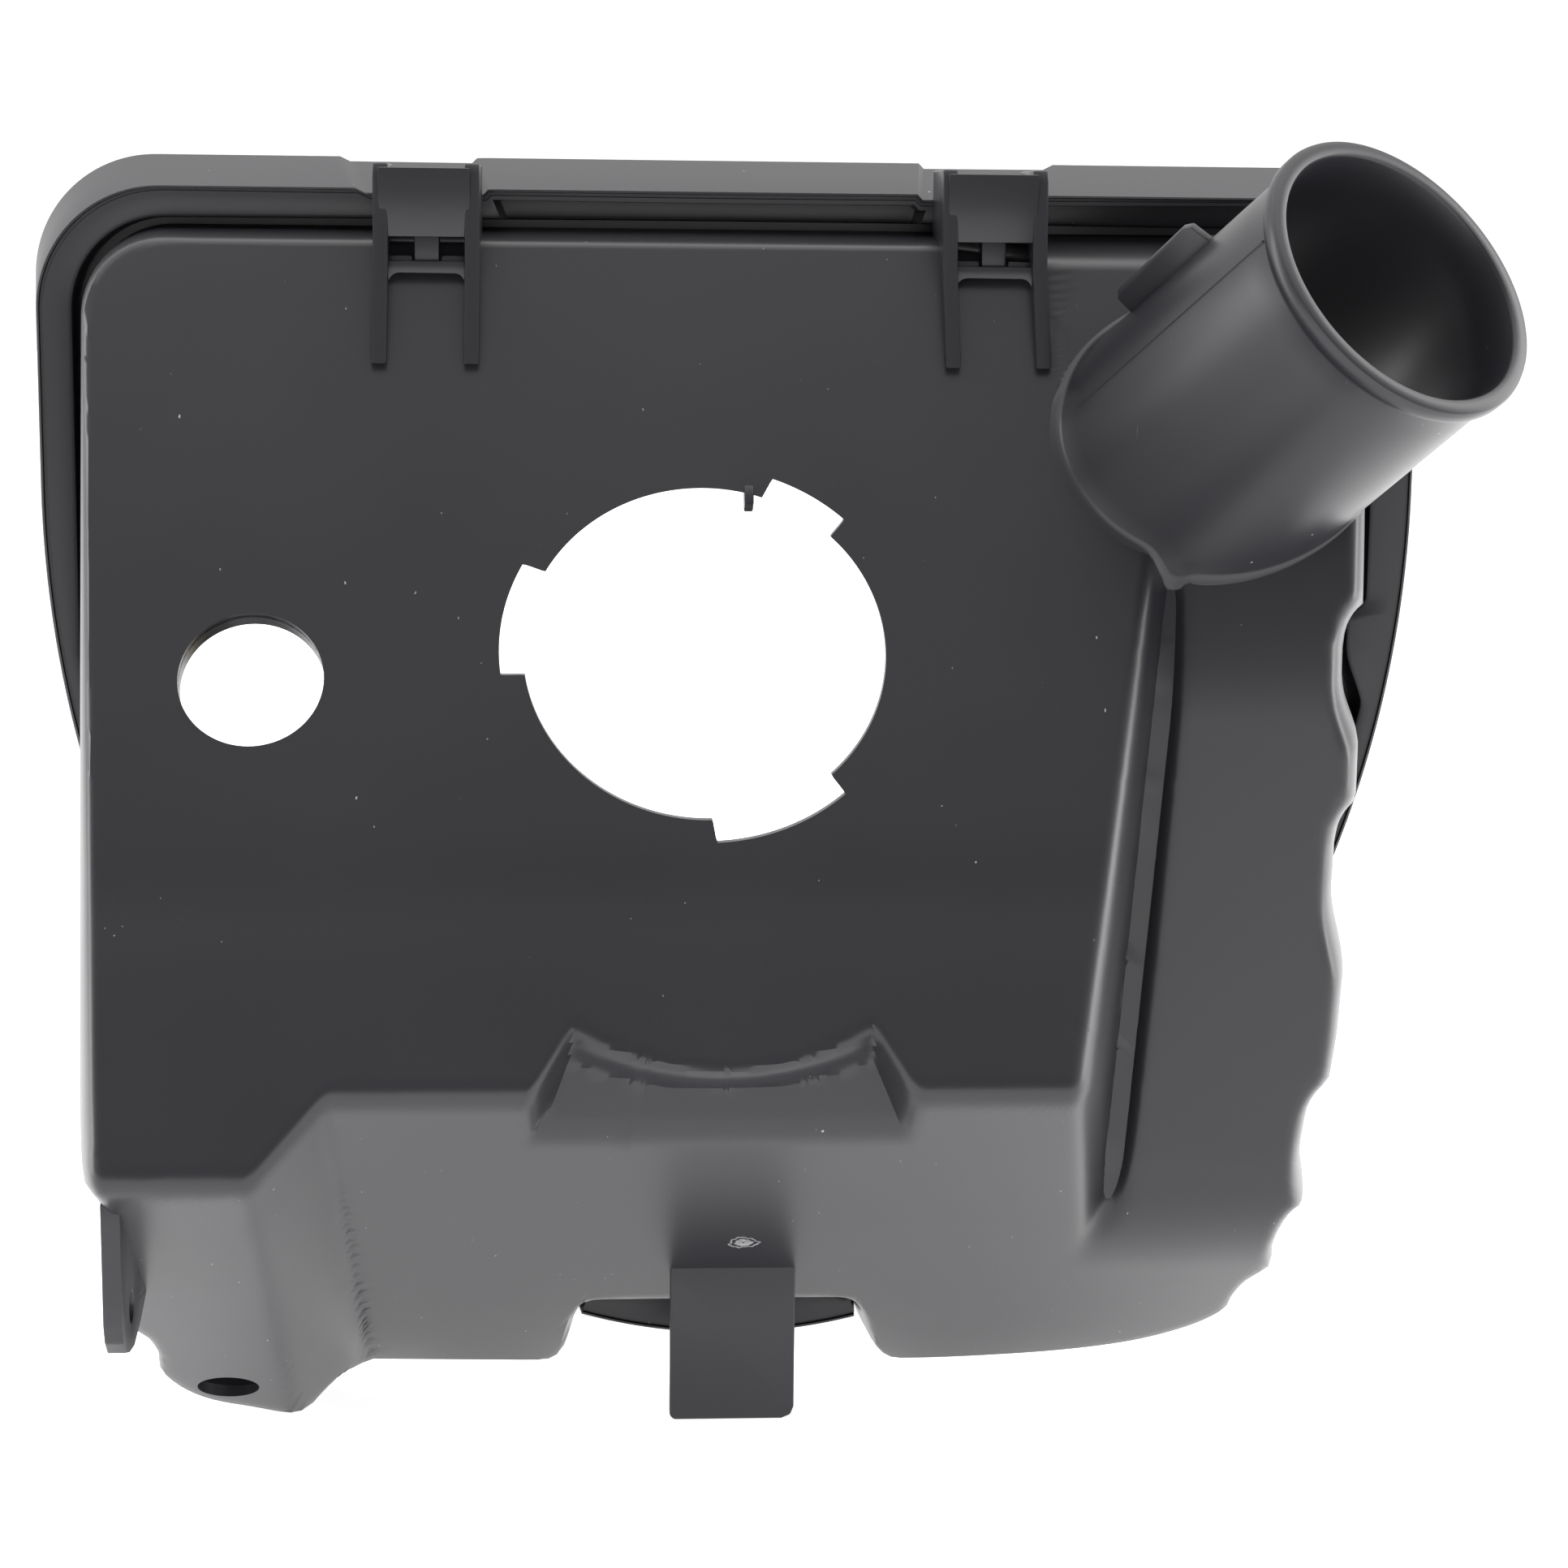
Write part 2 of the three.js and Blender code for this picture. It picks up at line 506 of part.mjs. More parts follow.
const coverOuter = coverDepth + gap;
const coverBevelY = coverOuter - coverBevel;
const coverForm = (inset, y0) => loft(rimBack(inset), rimBack(inset + coverTaper), y0, coverBevelY)
  .add(loft(rimBack(inset + coverTaper), rimBack(coverTaper + coverBevel + inset * 0.5), coverBevelY,
    coverOuter - inset));
let lid = coverForm(0, coverGap).subtract(coverForm(coverWall, coverGap - 1));
const seatY = filterFront + filterDepth;
const seatXs = [-filterHalfWidth + 8, filterHalfWidth - 8];
const seatZs = [filterLow + 12, (filterLow + filterHigh) / 2, filterHigh - 12];
for (const x of seatXs) {
  for (const z of seatZs) lid = lid.add(box(x - 4, x + 4, seatY + gap, coverOuter - 1, z - 8, z + 8));
}
for (const x of Object.values(hingeXs)) {
  const eyeTop = archLow(Math.abs(x) + hingeWidth / 2) + wall;
  const eye = [
    [hingeY - hingeEyeRadius, hingeZ], [hingeY + hingeEyeRadius, hingeZ],
    [hingeY + hingeEyeRadius - 1, eyeTop + 9], [coverBevelY - 2, eyeTop], [hingeY - 16, eyeTop],
  ];
  const x0 = x - hingeWidth / 2;
  lid = lid.add(profile(eye, x0, x0 + hingeWidth)).add(rod(axisAt(x0), alongX, hingeWidth, hingeEyeRadius));
  lid = lid.subtract(rod(axisAt(x - 20), alongX, 40, hingePinRadius + gap));
}
const earHalf = latchWidth / 2 + gap + 1;
const latchAt = (x) => new THREE.Vector3(x, latchPivotY, latchPivotZ);
for (const x of Object.values(catchXs)) {
  const lug = [
    [latchPivotY - 8, rimTop - 1.5], [latchPivotY + 8, rimTop - 1.5], [latchPivotY + 4, latchPivotZ + 3.6],
    [latchPivotY - 4, latchPivotZ + 3.6],
  ];
  lid = lid.add(profile(lug, x - earHalf - 3, x - earHalf)).add(profile(lug, x + earHalf, x + earHalf + 3));
  lid = lid.subtract(rod(latchAt(x - 20), alongX, 40, latchPinRadius + gap, 28));
}
put('cover_shell', lid, plastic('polypropylene'), cover);

// rubber seal in the cover's edge
const sealInset = coverWall + coverTaper + gap;
const seal = loft(rimBack(sealInset), rimBack(sealInset), coverGap, coverGap + sealHeight)
  .subtract(loft(rimBack(sealInset + sealWidth), rimBack(sealInset + sealWidth), coverGap - 1, coverGap + sealHeight + 2));
put('cover_seal', seal, rubber(), cover);

// ---- panel filter, carried in the cover ----
const frameOutline = roundedOutline(filterHalfWidth, filterLow, filterHigh, filterCorner);
const inner = filterHalfWidth - filterFrame;
const windowOutline = roundedOutline(inner, filterLow + filterFrame, filterHigh - filterFrame, windowCorner);
put('filter_frame', slab(frameOutline, filterFront, seatY, 6).subtract(slab(windowOutline, filterFront - 1, seatY + 1, 4)),
  foam(), cover);

const pleatCount = Math.floor((2 * inner - 2) / pleatPitch);
const pleatTop = [];
const pleatLow = [];
for (let i = 0; i <= pleatCount * 2; i += 1) {
  const x = -(pleatCount * pleatPitch) / 2 + (i * pleatPitch) / 2;
  const y = (filterFront + seatY) / 2 + (i % 2 ? pleatDepth / 2 : -pleatDepth / 2);
  pleatTop.push(new THREE.Vector2(x, y));
  pleatLow.unshift(new THREE.Vector2(x, y + pleatThick));
}
const pleats = new THREE.ExtrudeGeometry(new THREE.Shape([...pleatTop, ...pleatLow]), {
  depth: filterHigh - filterLow - 2 * filterFrame - 2, bevelEnabled: false });
pleats.translate(0, 0, filterLow + filterFrame + 1);
put('filter_pleats', toSolid(pleats), paper(), cover);

// support screen over the clean side of the pleats
let screen = slab(roundedOutline(inner - 1, filterLow + filterFrame + 1, filterHigh - filterFrame - 1, windowCorner - 1),
  seatY - 2, seatY - 1, 3);
const cellsX = 6;
const cellsZ = 5;
const cellW = (2 * (inner - 1)) / cellsX;
const cellH = (filterHigh - filterLow - 2 * filterFrame - 2) / cellsZ;
for (let i = 0; i < cellsX; i += 1) {
  for (let j = 0; j < cellsZ; j += 1) {
    const x0 = -(inner - 1) + i * cellW;
    const z0 = filterLow + filterFrame + 1 + j * cellH;
    screen = screen.subtract(box(
      x0 + screenBar, x0 + cellW - screenBar, seatY - 3, seatY, z0 + screenBar, z0 + cellH - screenBar));
  }
}
put('filter_screen', screen, steel(), cover);

// four spring clips hold the filter frame down on its seats
let clipNumber = 1;
for (const x of seatXs) {
  for (const z of [seatZs[0], seatZs[2]]) {
    const out = Math.sign(x);
    const edge = out * (filterHalfWidth + gap);
    const front = filterFront - gap;
    const clip = [
      [front, edge - out * clipReach], [front, edge], [seatY + 6, edge], [seatY + 6, edge + out * clipThick],
      [front - clipThick, edge + out * clipThick], [front - clipThick, edge - out * clipReach],
    ];
    const shape = new THREE.Shape(clip.map(([y, px]) => new THREE.Vector2(px, y)));
    const g = new THREE.ExtrudeGeometry(shape, { depth: clipLength, bevelEnabled: false });
    g.translate(0, 0, z - clipLength / 2);
    put(`filter_clip_${clipNumber}`, toSolid(g), steel(), cover);
    clipNumber += 1;
  }
}

// ---- latches, built hooked over the catches and then swung up off them ----
for (const [name, x] of Object.entries(catchXs)) {
  const label = name.replace('catch', 'latch');
  const half = latchWidth / 2;
  const strapLow = rimTop + 2.2;
  const leg = capFront - 0.6;
  const hook = [
    [latchPivotY, strapLow + latchThick], [leg - latchThick, strapLow + latchThick],
    [leg - latchThick, crossbarTop + 0.9], [capFront + 1.8, crossbarTop + 0.9], [capFront + 1.8, capLow - 0.7],
    [leg, capLow - 0.7], [leg, strapLow], [latchPivotY, strapLow],
  ];
  const swing = new THREE.Group();
  swing.position.set(0, latchPivotY, latchPivotZ);
  swing.rotation.x = coverOpenAngle;
  const body = profile(hook, x - half, x + half).add(rod(latchAt(x - half), alongX, latchWidth, latchEyeRadius, 32))
    .subtract(rod(latchAt(x - 20), alongX, 40, latchPinRadius + gap, 28));
  const mesh = put(label, body, plastic('acetal'), swing);
  mesh.position.set(0, -latchPivotY, -latchPivotZ);
  cover.add(swing);
  const pinHalf = earHalf + 4;
  const pin = rod(latchAt(x - pinHalf), alongX, 2 * pinHalf, latchPinRadius, 24);
  put(name.replace('catch', 'latch_pin'), pin, steel(), cover);
}

// The origin is the middle of the object's footprint, on the floor.
const bounds = new THREE.Box3().setFromObject(group);
const middle = bounds.getCenter(new THREE.Vector3());
group.position.set(-middle.x, -middle.y, -bounds.min.z);
export default group;
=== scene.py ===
# Air filter housing: the looks of the moulded base, its cover, filter and latches.
# Shapes are worked out in millimetres: x = 0 is the rim's middle, y = 0 the rim plane (the body lies on -y),
# z = 0 the floor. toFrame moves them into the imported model's place.
import bpy
import bmesh
import numpy as np
from mathutils import Matrix, Vector


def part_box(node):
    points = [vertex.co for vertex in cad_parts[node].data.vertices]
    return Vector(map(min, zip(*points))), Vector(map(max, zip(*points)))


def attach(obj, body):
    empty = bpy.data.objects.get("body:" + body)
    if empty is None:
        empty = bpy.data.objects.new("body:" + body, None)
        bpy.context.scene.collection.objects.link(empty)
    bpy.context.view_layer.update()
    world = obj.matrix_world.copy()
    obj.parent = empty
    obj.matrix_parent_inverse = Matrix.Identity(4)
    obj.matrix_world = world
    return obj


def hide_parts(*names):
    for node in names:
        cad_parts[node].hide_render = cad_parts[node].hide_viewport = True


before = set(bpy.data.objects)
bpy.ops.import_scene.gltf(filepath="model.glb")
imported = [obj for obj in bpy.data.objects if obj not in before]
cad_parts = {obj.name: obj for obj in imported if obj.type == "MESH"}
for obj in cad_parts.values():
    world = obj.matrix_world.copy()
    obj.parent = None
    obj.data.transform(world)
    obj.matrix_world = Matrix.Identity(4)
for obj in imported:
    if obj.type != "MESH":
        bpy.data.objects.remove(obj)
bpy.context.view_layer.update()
shellLow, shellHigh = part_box("housing_shell")
rimTop = 316.0
frameShift = np.array([(shellLow.x + shellHigh.x) / 2, shellHigh.y, shellHigh.z - rimTop / 1000])


def toFrame(points):
    # millimetres to metres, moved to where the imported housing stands
    return np.asarray(points, float) / 1000 + frameShift


# ---- mesh helpers ----
def meshFrom(name, points, faces):
    # a mesh from points in millimetres
    mesh = bpy.data.meshes.new(name)
    mesh.from_pydata(toFrame(points).tolist(), [], faces if isinstance(faces, list) else faces.tolist())
    return mesh


def reworked(mesh, merge=0.0, flatten=0.0, turnOut=True):
    # merges doubled points, dissolves edges flatter than an angle and turns the faces outwards
    work = bmesh.new()
    work.from_mesh(mesh)
    if merge:
        bmesh.ops.remove_doubles(work, verts=work.verts, dist=merge)
    if flatten:
        bmesh.ops.dissolve_limit(work, angle_limit=np.radians(flatten), verts=work.verts, edges=work.edges)
    if turnOut:
        bmesh.ops.recalc_face_normals(work, faces=work.faces)
    work.to_mesh(mesh)
    work.free()
    return mesh


def shade(piece, sharp):
    # smooth up to the sharp angle
    piece.data.shade_smooth()
    piece.data.set_sharp_from_angle(angle=np.radians(sharp))


def finishPiece(name, mesh, body, replaced, material, sharp=32.0, rounded=0.0, segments=2):
    # links a mesh as one piece that rides on a body, with its sharp edges rounded
    piece = bpy.data.objects.new(name, reworked(mesh, merge=1e-6))
    bpy.context.scene.collection.objects.link(piece)
    if rounded:
        bevel = piece.modifiers.new("roundedEdges", "BEVEL")
        bevel.width = rounded / 1000
        bevel.segments = segments
        bevel.limit_method = "ANGLE"
        bevel.angle_limit = np.radians(sharp)
        applyModifiers(piece)
    shade(piece, sharp)
    piece.data.materials.clear()
    piece.data.materials.append(material)
    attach(piece, body)
    for node in replaced:
        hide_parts(node)
    return piece


def addPiece(name, points, faces, replaced, material=None, **finish):
    # makes one closed piece of the housing from points in millimetres
    return finishPiece(name, meshFrom(name, points, faces), "housing", replaced, material or polypropylene, **finish)


def applyModifiers(piece):
    # the piece's mesh becomes what its modifiers make of it
    ready = piece.evaluated_get(bpy.context.evaluated_depsgraph_get())
    mesh = bpy.data.meshes.new_from_object(ready)
    piece.modifiers.clear()
    piece.data = mesh


def gridFaces(rows, columns, closedRows=False):
    # quads over a grid whose columns close round; closedRows joins the last row to the first
    r, c = np.meshgrid(np.arange(rows if closedRows else rows - 1), np.arange(columns), indexing="ij")
    up, along = (r + 1) % rows, (c + 1) % columns
    return np.stack([r * columns + c, r * columns + along, up * columns + along, up * columns + c], -1).reshape(-1, 4)


def extruded(outline, axis, low, high):
    # a flat outline carried straight along one axis; outline gives the two other coordinates in x, y, z order
    outline = np.asarray(outline, float)
    n = len(outline)
    points = np.concatenate([np.insert(outline, axis, low, axis=1), np.insert(outline, axis, high, axis=1)])
    i = np.arange(n)
    j = (i + 1) % n
    sides = np.stack([i, j, j + n, i + n], -1).tolist()
    return points, sides + [i[::-1].tolist(), (i + n).tolist()]


def joined(parts):
    # several closed parts as one set of points and faces
    points, faces, start = [], [], 0
    for partPoints, partFaces in parts:
        points.append(np.asarray(partPoints, float))
        faces += [[v + start for v in face] for face in partFaces]
        start += len(partPoints)
    return np.concatenate(points), faces


def block(x0, x1, y0, y1, z0, z1):
    # a rectangular block between two corners
    return extruded([[y0, z0], [y1, z0], [y1, z1], [y0, z1]], 0, x0, x1)


def smoothStep(value, start, end):
    # 3t^2 - 2t^3 for t from 0 at start to 1 at end
    t = np.clip((value - start) / (end - start), 0, 1)
    return t * t * (3 - 2 * t)


def cutWith(piece, points, faces):
    # takes a closed solid away from a piece
    cutter = bpy.data.objects.new("cutter", reworked(meshFrom("cutter", points, faces)))
    bpy.context.scene.collection.objects.link(cutter)
    cut = piece.modifiers.new("cut", "BOOLEAN")
    cut.operation = "DIFFERENCE"
    cut.object = cutter
    cut.solver = "MANIFOLD"
    applyModifiers(piece)
    bpy.data.objects.remove(cutter)


def coneSolid(start, direction, length, startRadius, endRadius, sides=96):
    # a ring of spokes square to the direction, at each end, with flat caps
    direction = np.asarray(direction, float) / np.linalg.norm(direction)
    side = np.cross(direction, [0.0, 0.0, 1.0])
    side /= np.linalg.norm(side)
    turn = np.linspace(0, 2 * np.pi, sides, endpoint=False)[:, None]
    ring = side * np.cos(turn) + np.cross(direction, side) * np.sin(turn)
    start = np.asarray(start, float)
    points = np.concatenate([start + ring * startRadius, start + direction * length + ring * endRadius])
    i = np.arange(sides)
    faces = gridFaces(2, sides).tolist() + [i[::-1].tolist(), (i + sides).tolist()]
    return points, faces


# ---- materials ----
def linear(hexColour):
    # sRGB hex to linear
    value = np.array([int(hexColour[i:i + 2], 16) for i in (1, 3, 5)]) / 255
    return (*np.where(value <= 0.04045, value / 12.92, ((value + 0.055) / 1.055) ** 2.4).tolist(), 1.0)


def addNode(tree, kind, settings=None, links=None):
    # adds one node; settings are attributes or inputs by name, links are input name -> output socket
    node = tree.nodes.new(kind)
    for key, value in (settings or {}).items():
        if key in node.inputs:
            node.inputs[key].default_value = value
        else:
            setattr(node, key, value)
    for key, socket in (links or {}).items():
        tree.links.new(socket, node.inputs[key])
    return node


def mixedColour(tree, factor, first, second):
    # the colour between two sRGB hex colours
    mix = addNode(tree, "ShaderNodeMix", {"data_type": "RGBA"}, {"Factor": factor})
    mix.inputs["A"].default_value = linear(first)
    mix.inputs["B"].default_value = linear(second)
    return mix.outputs["Result"]


def makePlastic(name, values):
    # moulded plastic: even colour with slight cloudy variation, fine texture, dust specks and a few hair scratches
    material = bpy.data.materials.new(name)
    material.use_nodes = True
    tree = material.node_tree
    shader = tree.nodes["Principled BSDF"]
    place = addNode(tree, "ShaderNodeTexCoord").outputs["Object"]
    cloud = addNode(tree, "ShaderNodeTexNoise", {"Scale": 1000 / values["cloudMm"], "Detail": 3.0}, {"Vector": place})
    dust = addNode(tree, "ShaderNodeTexVoronoi", {"Scale": 1000 / values["dustMm"]}, {"Vector": place})
    dustPick = addNode(tree, "ShaderNodeTexWhiteNoise", {}, {"Vector": dust.outputs["Position"]})
    # most cells get a size below zero, so they hold no speck
    dustSize = addNode(tree, "ShaderNodeMapRange", {"To Min": -0.12, "To Max": values["dustSize"]},
                       {"Value": dustPick.outputs["Value"]})
    speck = addNode(tree, "ShaderNodeMath", {"operation": "LESS_THAN"},
                    {0: dust.outputs["Distance"], 1: dustSize.outputs["Result"]})
    stretch = addNode(tree, "ShaderNodeMapping", {"Rotation": (0.3, 0.5, 0.4), "Scale": (1.0, 1.0, 0.03)},
                      {"Vector": place})
    scratch = addNode(tree, "ShaderNodeTexNoise", {"Scale": 1000 / values["scratchMm"], "Detail": 1.0},
                      {"Vector": stretch.outputs["Vector"]})
    scratchLine = addNode(tree, "ShaderNodeMapRange", {"From Min": 0.8, "From Max": 0.84},
                          {"Value": scratch.outputs["Fac"]})
    marks = addNode(tree, "ShaderNodeMath", {"operation": "MAXIMUM"},
                    {0: speck.outputs[0], 1: scratchLine.outputs["Result"]})
    base = mixedColour(tree, cloud.outputs["Fac"], values["dark"], values["light"])
    worn = addNode(tree, "ShaderNodeMix", {"data_type": "RGBA"}, {"Factor": marks.outputs[0], "A": base})
    worn.inputs["B"].default_value = linear(values["mark"])
    tree.links.new(worn.outputs["Result"], shader.inputs["Base Color"])
    rough = addNode(tree, "ShaderNodeMapRange", {"To Min": values["roughLow"], "To Max": values["roughHigh"]},
                    {"Value": cloud.outputs["Fac"]})
    tree.links.new(rough.outputs["Result"], shader.inputs["Roughness"])
    grain = addNode(tree, "ShaderNodeTexNoise", {"Scale": 1000 / values["grainMm"], "Detail": 2.0}, {"Vector": place})
    bump = addNode(tree, "ShaderNodeBump", {"Strength": values["grainStrength"], "Distance": 0.0001},
                   {"Height": grain.outputs["Fac"]})
    tree.links.new(bump.outputs["Normal"], shader.inputs["Normal"])
    shader.inputs["IOR"].default_value = values["ior"]
    return material


def makeMetal(name, values):
    # metal with a slight mottle in its tint and roughness
    material = bpy.data.materials.new(name)
    material.use_nodes = True
    tree = material.node_tree
    shader = tree.nodes["Principled BSDF"]
    place = addNode(tree, "ShaderNodeTexCoord").outputs["Object"]
    mottle = addNode(tree, "ShaderNodeTexNoise", {"Scale": 1000 / values["mottleMm"], "Detail": 4.0}, {"Vector": place})
    rough = addNode(tree, "ShaderNodeMapRange", {"To Min": values["roughLow"], "To Max": values["roughHigh"]},
                    {"Value": mottle.outputs["Fac"]})
    tree.links.new(rough.outputs["Result"], shader.inputs["Roughness"])
    tint = mixedColour(tree, mottle.outputs["Fac"], values["dark"], values["light"])
    tree.links.new(tint, shader.inputs["Base Color"])
    shader.inputs["Metallic"].default_value = 1.0
    return material


# moulded black polypropylene: satin, slightly purple grey where it reflects the light
polypropylene = makePlastic("blackPolypropylene", {
    "dark": "#222125", "light": "#28272c", "mark": "#a5a5a5", "roughLow": 0.3, "roughHigh": 0.38, "ior": 1.49,
    "cloudMm": 60, "dustMm": 8, "dustSize": 0.03, "scratchMm": 1.5, "grainMm": 0.9, "grainStrength": 0.05})
# polypropylene of the cut-off gate's stub: its pale mottle is a painted highlight standing in for the torn face's shine
gateStubHighlightPlastic = makePlastic("gateStubPaintedHighlight", {
    "dark": "#3a393d", "light": "#b5b5b8", "mark": "#c8c8ca", "roughLow": 0.5, "roughHigh": 0.7, "ior": 1.49,
    "cloudMm": 1.6, "dustMm": 2, "dustSize": 0.05, "scratchMm": 2, "grainMm": 0.5, "grainStrength": 0.4})
# moulded acetal: a little smoother and blacker
acetal = makePlastic("blackAcetal", {
    "dark": "#1d1d1f", "light": "#222225", "mark": "#707070", "roughLow": 0.3, "roughHigh": 0.38, "ior": 1.48,
    "cloudMm": 30, "dustMm": 12, "dustSize": 0.02, "scratchMm": 6, "grainMm": 0.8, "grainStrength": 0.04})
# moulded polyurethane foam skin: dark grey and matt
polyurethane = makePlastic("greyPolyurethane", {
    "dark": "#38383a", "light": "#434346", "mark": "#57575a", "roughLow": 0.7, "roughHigh": 0.85, "ior": 1.5,
    "cloudMm": 12, "dustMm": 3, "dustSize": 0.12, "scratchMm": 8, "grainMm": 0.6, "grainStrength": 0.5})
# vulcanised rubber: black and matt
rubber = makePlastic("blackRubber", {
    "dark": "#161617", "light": "#1d1d1e", "mark": "#3a3a3a", "roughLow": 0.62, "roughHigh": 0.75, "ior": 1.52,
    "cloudMm": 10, "dustMm": 6, "dustSize": 0.03, "scratchMm": 7, "grainMm": 0.7, "grainStrength": 0.25})
# resin-treated filter paper: warm cream and fibrous
filterPaper = makePlastic("filterPaper", {
    "dark": "#d2c094", "light": "#e2d4ac", "mark": "#c2ae80", "roughLow": 0.85, "roughHigh": 0.95, "ior": 1.45,
    "cloudMm": 14, "dustMm": 2.5, "dustSize": 0.1, "scratchMm": 3, "grainMm": 0.5, "grainStrength": 0.5})
# zinc plating on steel: bright, with a fine mottle
zincSteel = makeMetal("zincPlatedSteel", {
    "dark": "#a9adb0", "light": "#c3c7ca", "mottleMm": 4, "roughLow": 0.28, "roughHigh": 0.42})
print("materials made")

# ---- camera ----
# looks at the housing's outer side, a little from the left and above
viewFrom = {
    "place": (-39.6, -819.6, 303.5), "forward": (0.0645, 0.9828, -0.1733), "right": (0.9979, -0.0636, 0.0112),
    "lens": 74.53}
cameraData = bpy.data.cameras.new("camera")
cameraData.lens = viewFrom["lens"]
cameraData.sensor_width = 36.0
cameraData.clip_start = 0.01
camera = bpy.data.objects.new("camera", cameraData)
bpy.context.scene.collection.objects.link(camera)
forward = Vector(viewFrom["forward"]).normalized()
right = Vector(viewFrom["right"])
right = (right - forward * right.dot(forward)).normalized()
camera.matrix_world = Matrix.Translation(Vector(toFrame(viewFrom["place"]))) @ Matrix(
    (right, right.cross(forward), -forward)).transposed().to_4x4()
bpy.context.scene.camera = camera

# ---- housing body ----
bodyValues = {
    "halfWidth": 159.0, "top": 300.0, "corner": 22.0, "wall": 2.4,
    "depthTop": 36.0, "lean": 0.618, "leanStart": 298.0, "midFrontZ": 117.0, "midSlope": 0.767,
    "leftFrontZ": 100.5, "leftSlope": 0.788, "stepX": -92.0, "stepSteepness": 2.0, "stepFillet": 5.0, "stepRound": 4.0,
    "ductDepth": 82.0, "ductFootX": 88.0, "ductFootLean": 0.075, "ductFlank": 4.1, "flankFillet": 8.0,
    "draftLeft": 0.08, "draftRight": 0.135, "draftSplit": (45, 75), "edgeRound": 7.0, "flankRound": 22.0,
    "sideRound": 0.6, "leastSideRound": 8,
    "boreX": -10.1, "boreZ": 205.9, "boreRadius": 41.0, "lugRadius": 46.4, "lugs": ((-88, -48), (-208, -172), (45, 70)),
    # a shallow bend across the sloping wall, and a raised patch at its upper right
    "bendZ": 155, "bendDepth": 0.55, "bendWidth": 9, "patchX": (73.9, 75.9), "patchZ": (256, 258.4), "patchHeight": 0.7,
    # a groove along the duct panel's foot
    "valleyDepth": 5.0, "valleyFromFoot": 3.4, "valleyWidth": 2.6, "valleyLow": (58, 76), "valleyHigh": (232, 216),
}
# the arc pocket over the middle bottom wall: a floor, a bowed roof that slopes out, and two flanks
pocketValues = {
    "x": -7.4, "floor": 132, "lip": 114.6, "bow": 0.0054, "roofSlope": 2.0, "roofEase": 1.1, "roofReach": 33,
    "half": 33.5, "flankSlope": 2.5, "spread": 0.45, "spreadFrom": 120.5, "round": 5.0}
# recesses down the side walls: height of the step, length over which the wall comes back, depth
rightFlutes = ((207, 26, 4.6), (160, 36, 4.8), (92, 26, 4.2), (60, 16, 3.0), (38, 14, 3.0))
leftFlutes = ((90, 20, 3.2), (66, 18, 3.4), (38, 16, 3.2))


def bezier(p0, p1, p2, p3, count=40):
    # a cubic curve from p0 to p3, without its last point
    t = np.linspace(0, 1, count, endpoint=False)[:, None]
    p0, p1, p2, p3 = np.array([p0, p1, p2, p3], float)
    return (1 - t) ** 3 * p0 + 3 * (1 - t) ** 2 * t * p1 + 3 * (1 - t) * t * t * p2 + t ** 3 * p3


def straight(p0, p1, count=60):
    # even steps from p0 to p1, without the last point
    t = np.linspace(0, 1, count, endpoint=False)[:, None]
    return np.array(p0) * (1 - t) + np.array(p1) * t


def arc(cx, cz, radius, start, end, count=30):
    # part of a circle between two angles in degrees, without the last point
    t = np.radians(np.linspace(start, end, count, endpoint=False))
    return np.stack([cx + radius * np.cos(t), cz + radius * np.sin(t)], -1)


def fluteDepth(z, flutes, step=2.2, hold=0.35):
    # each flute steps in sharply at its top, holds for part of its length and comes back slowly below
    total = np.zeros_like(z)
    for top, length, depth in flutes:
        total += depth * smoothStep(z, top + step, top - step) * (1 - smoothStep(top - z, length * hold, length))
    return total


def bodyOutline(grow):
    # the body at the rim plane: straight sides, a lobe at the lower left, two rear lobes and a notch between
    v = bodyValues
    g, h, top, corner = grow, v["halfWidth"] + grow, v["top"] + grow, v["corner"]
    outline = np.concatenate([
        straight((-h, top - corner), (-h, 130)),
        bezier((-h, 130), (-h, 90), (-158 - g, 52), (-148 - g, 28)),
        bezier((-148 - g, 28), (-143 - g, 14), (-136 - g, 7 - g), (-123, 4 - g)),
        bezier((-123, 4 - g), (-117, 2 - g), (-113, -g), (-108, -g)),
        bezier((-108, -g), (-103, -g), (-102, 6 - g), (-97, 7 - g)),
        straight((-97, 7 - g), (-48, 5.5 - g)),
        bezier((-48, 5.5 - g), (-38 + g, 6 - g), (-40 + g, 31 - g), (-33 + g, 31 - g)),
        straight((-33 + g, 31 - g), (26 - g, 31 - g)),
        bezier((26 - g, 31 - g), (33 - g, 31 - g), (36 - g, 5 - g), (46, 4.5 - g)),
        bezier((46, 4.5 - g), (80, 4 - g), (110, 8 - g), (126 + g, 18 - g)),
        bezier((126 + g, 18 - g), (146 + g, 30 - g), (152 + g, 70), (157 + g, 110)),
        straight((157 + g, 110), (h, 150)), straight((h, 150), (h, top - corner)),
        arc(h - corner, top - corner, corner, 0, 90), straight((h - corner, top), (-h + corner, top)),
        arc(-h + corner, top - corner, corner, 90, 180)])
    x, z = outline[:, 0], outline[:, 1]
    underSnorkel = 2.0 * smoothStep(x, 90, 140) * smoothStep(z, 290, 250)
    x -= np.where(x > 0, underSnorkel + fluteDepth(z, rightFlutes) * smoothStep(x, 90, 130), 0)
    x += fluteDepth(z, leftFlutes) * smoothStep(x, -110, -140)
    return outline


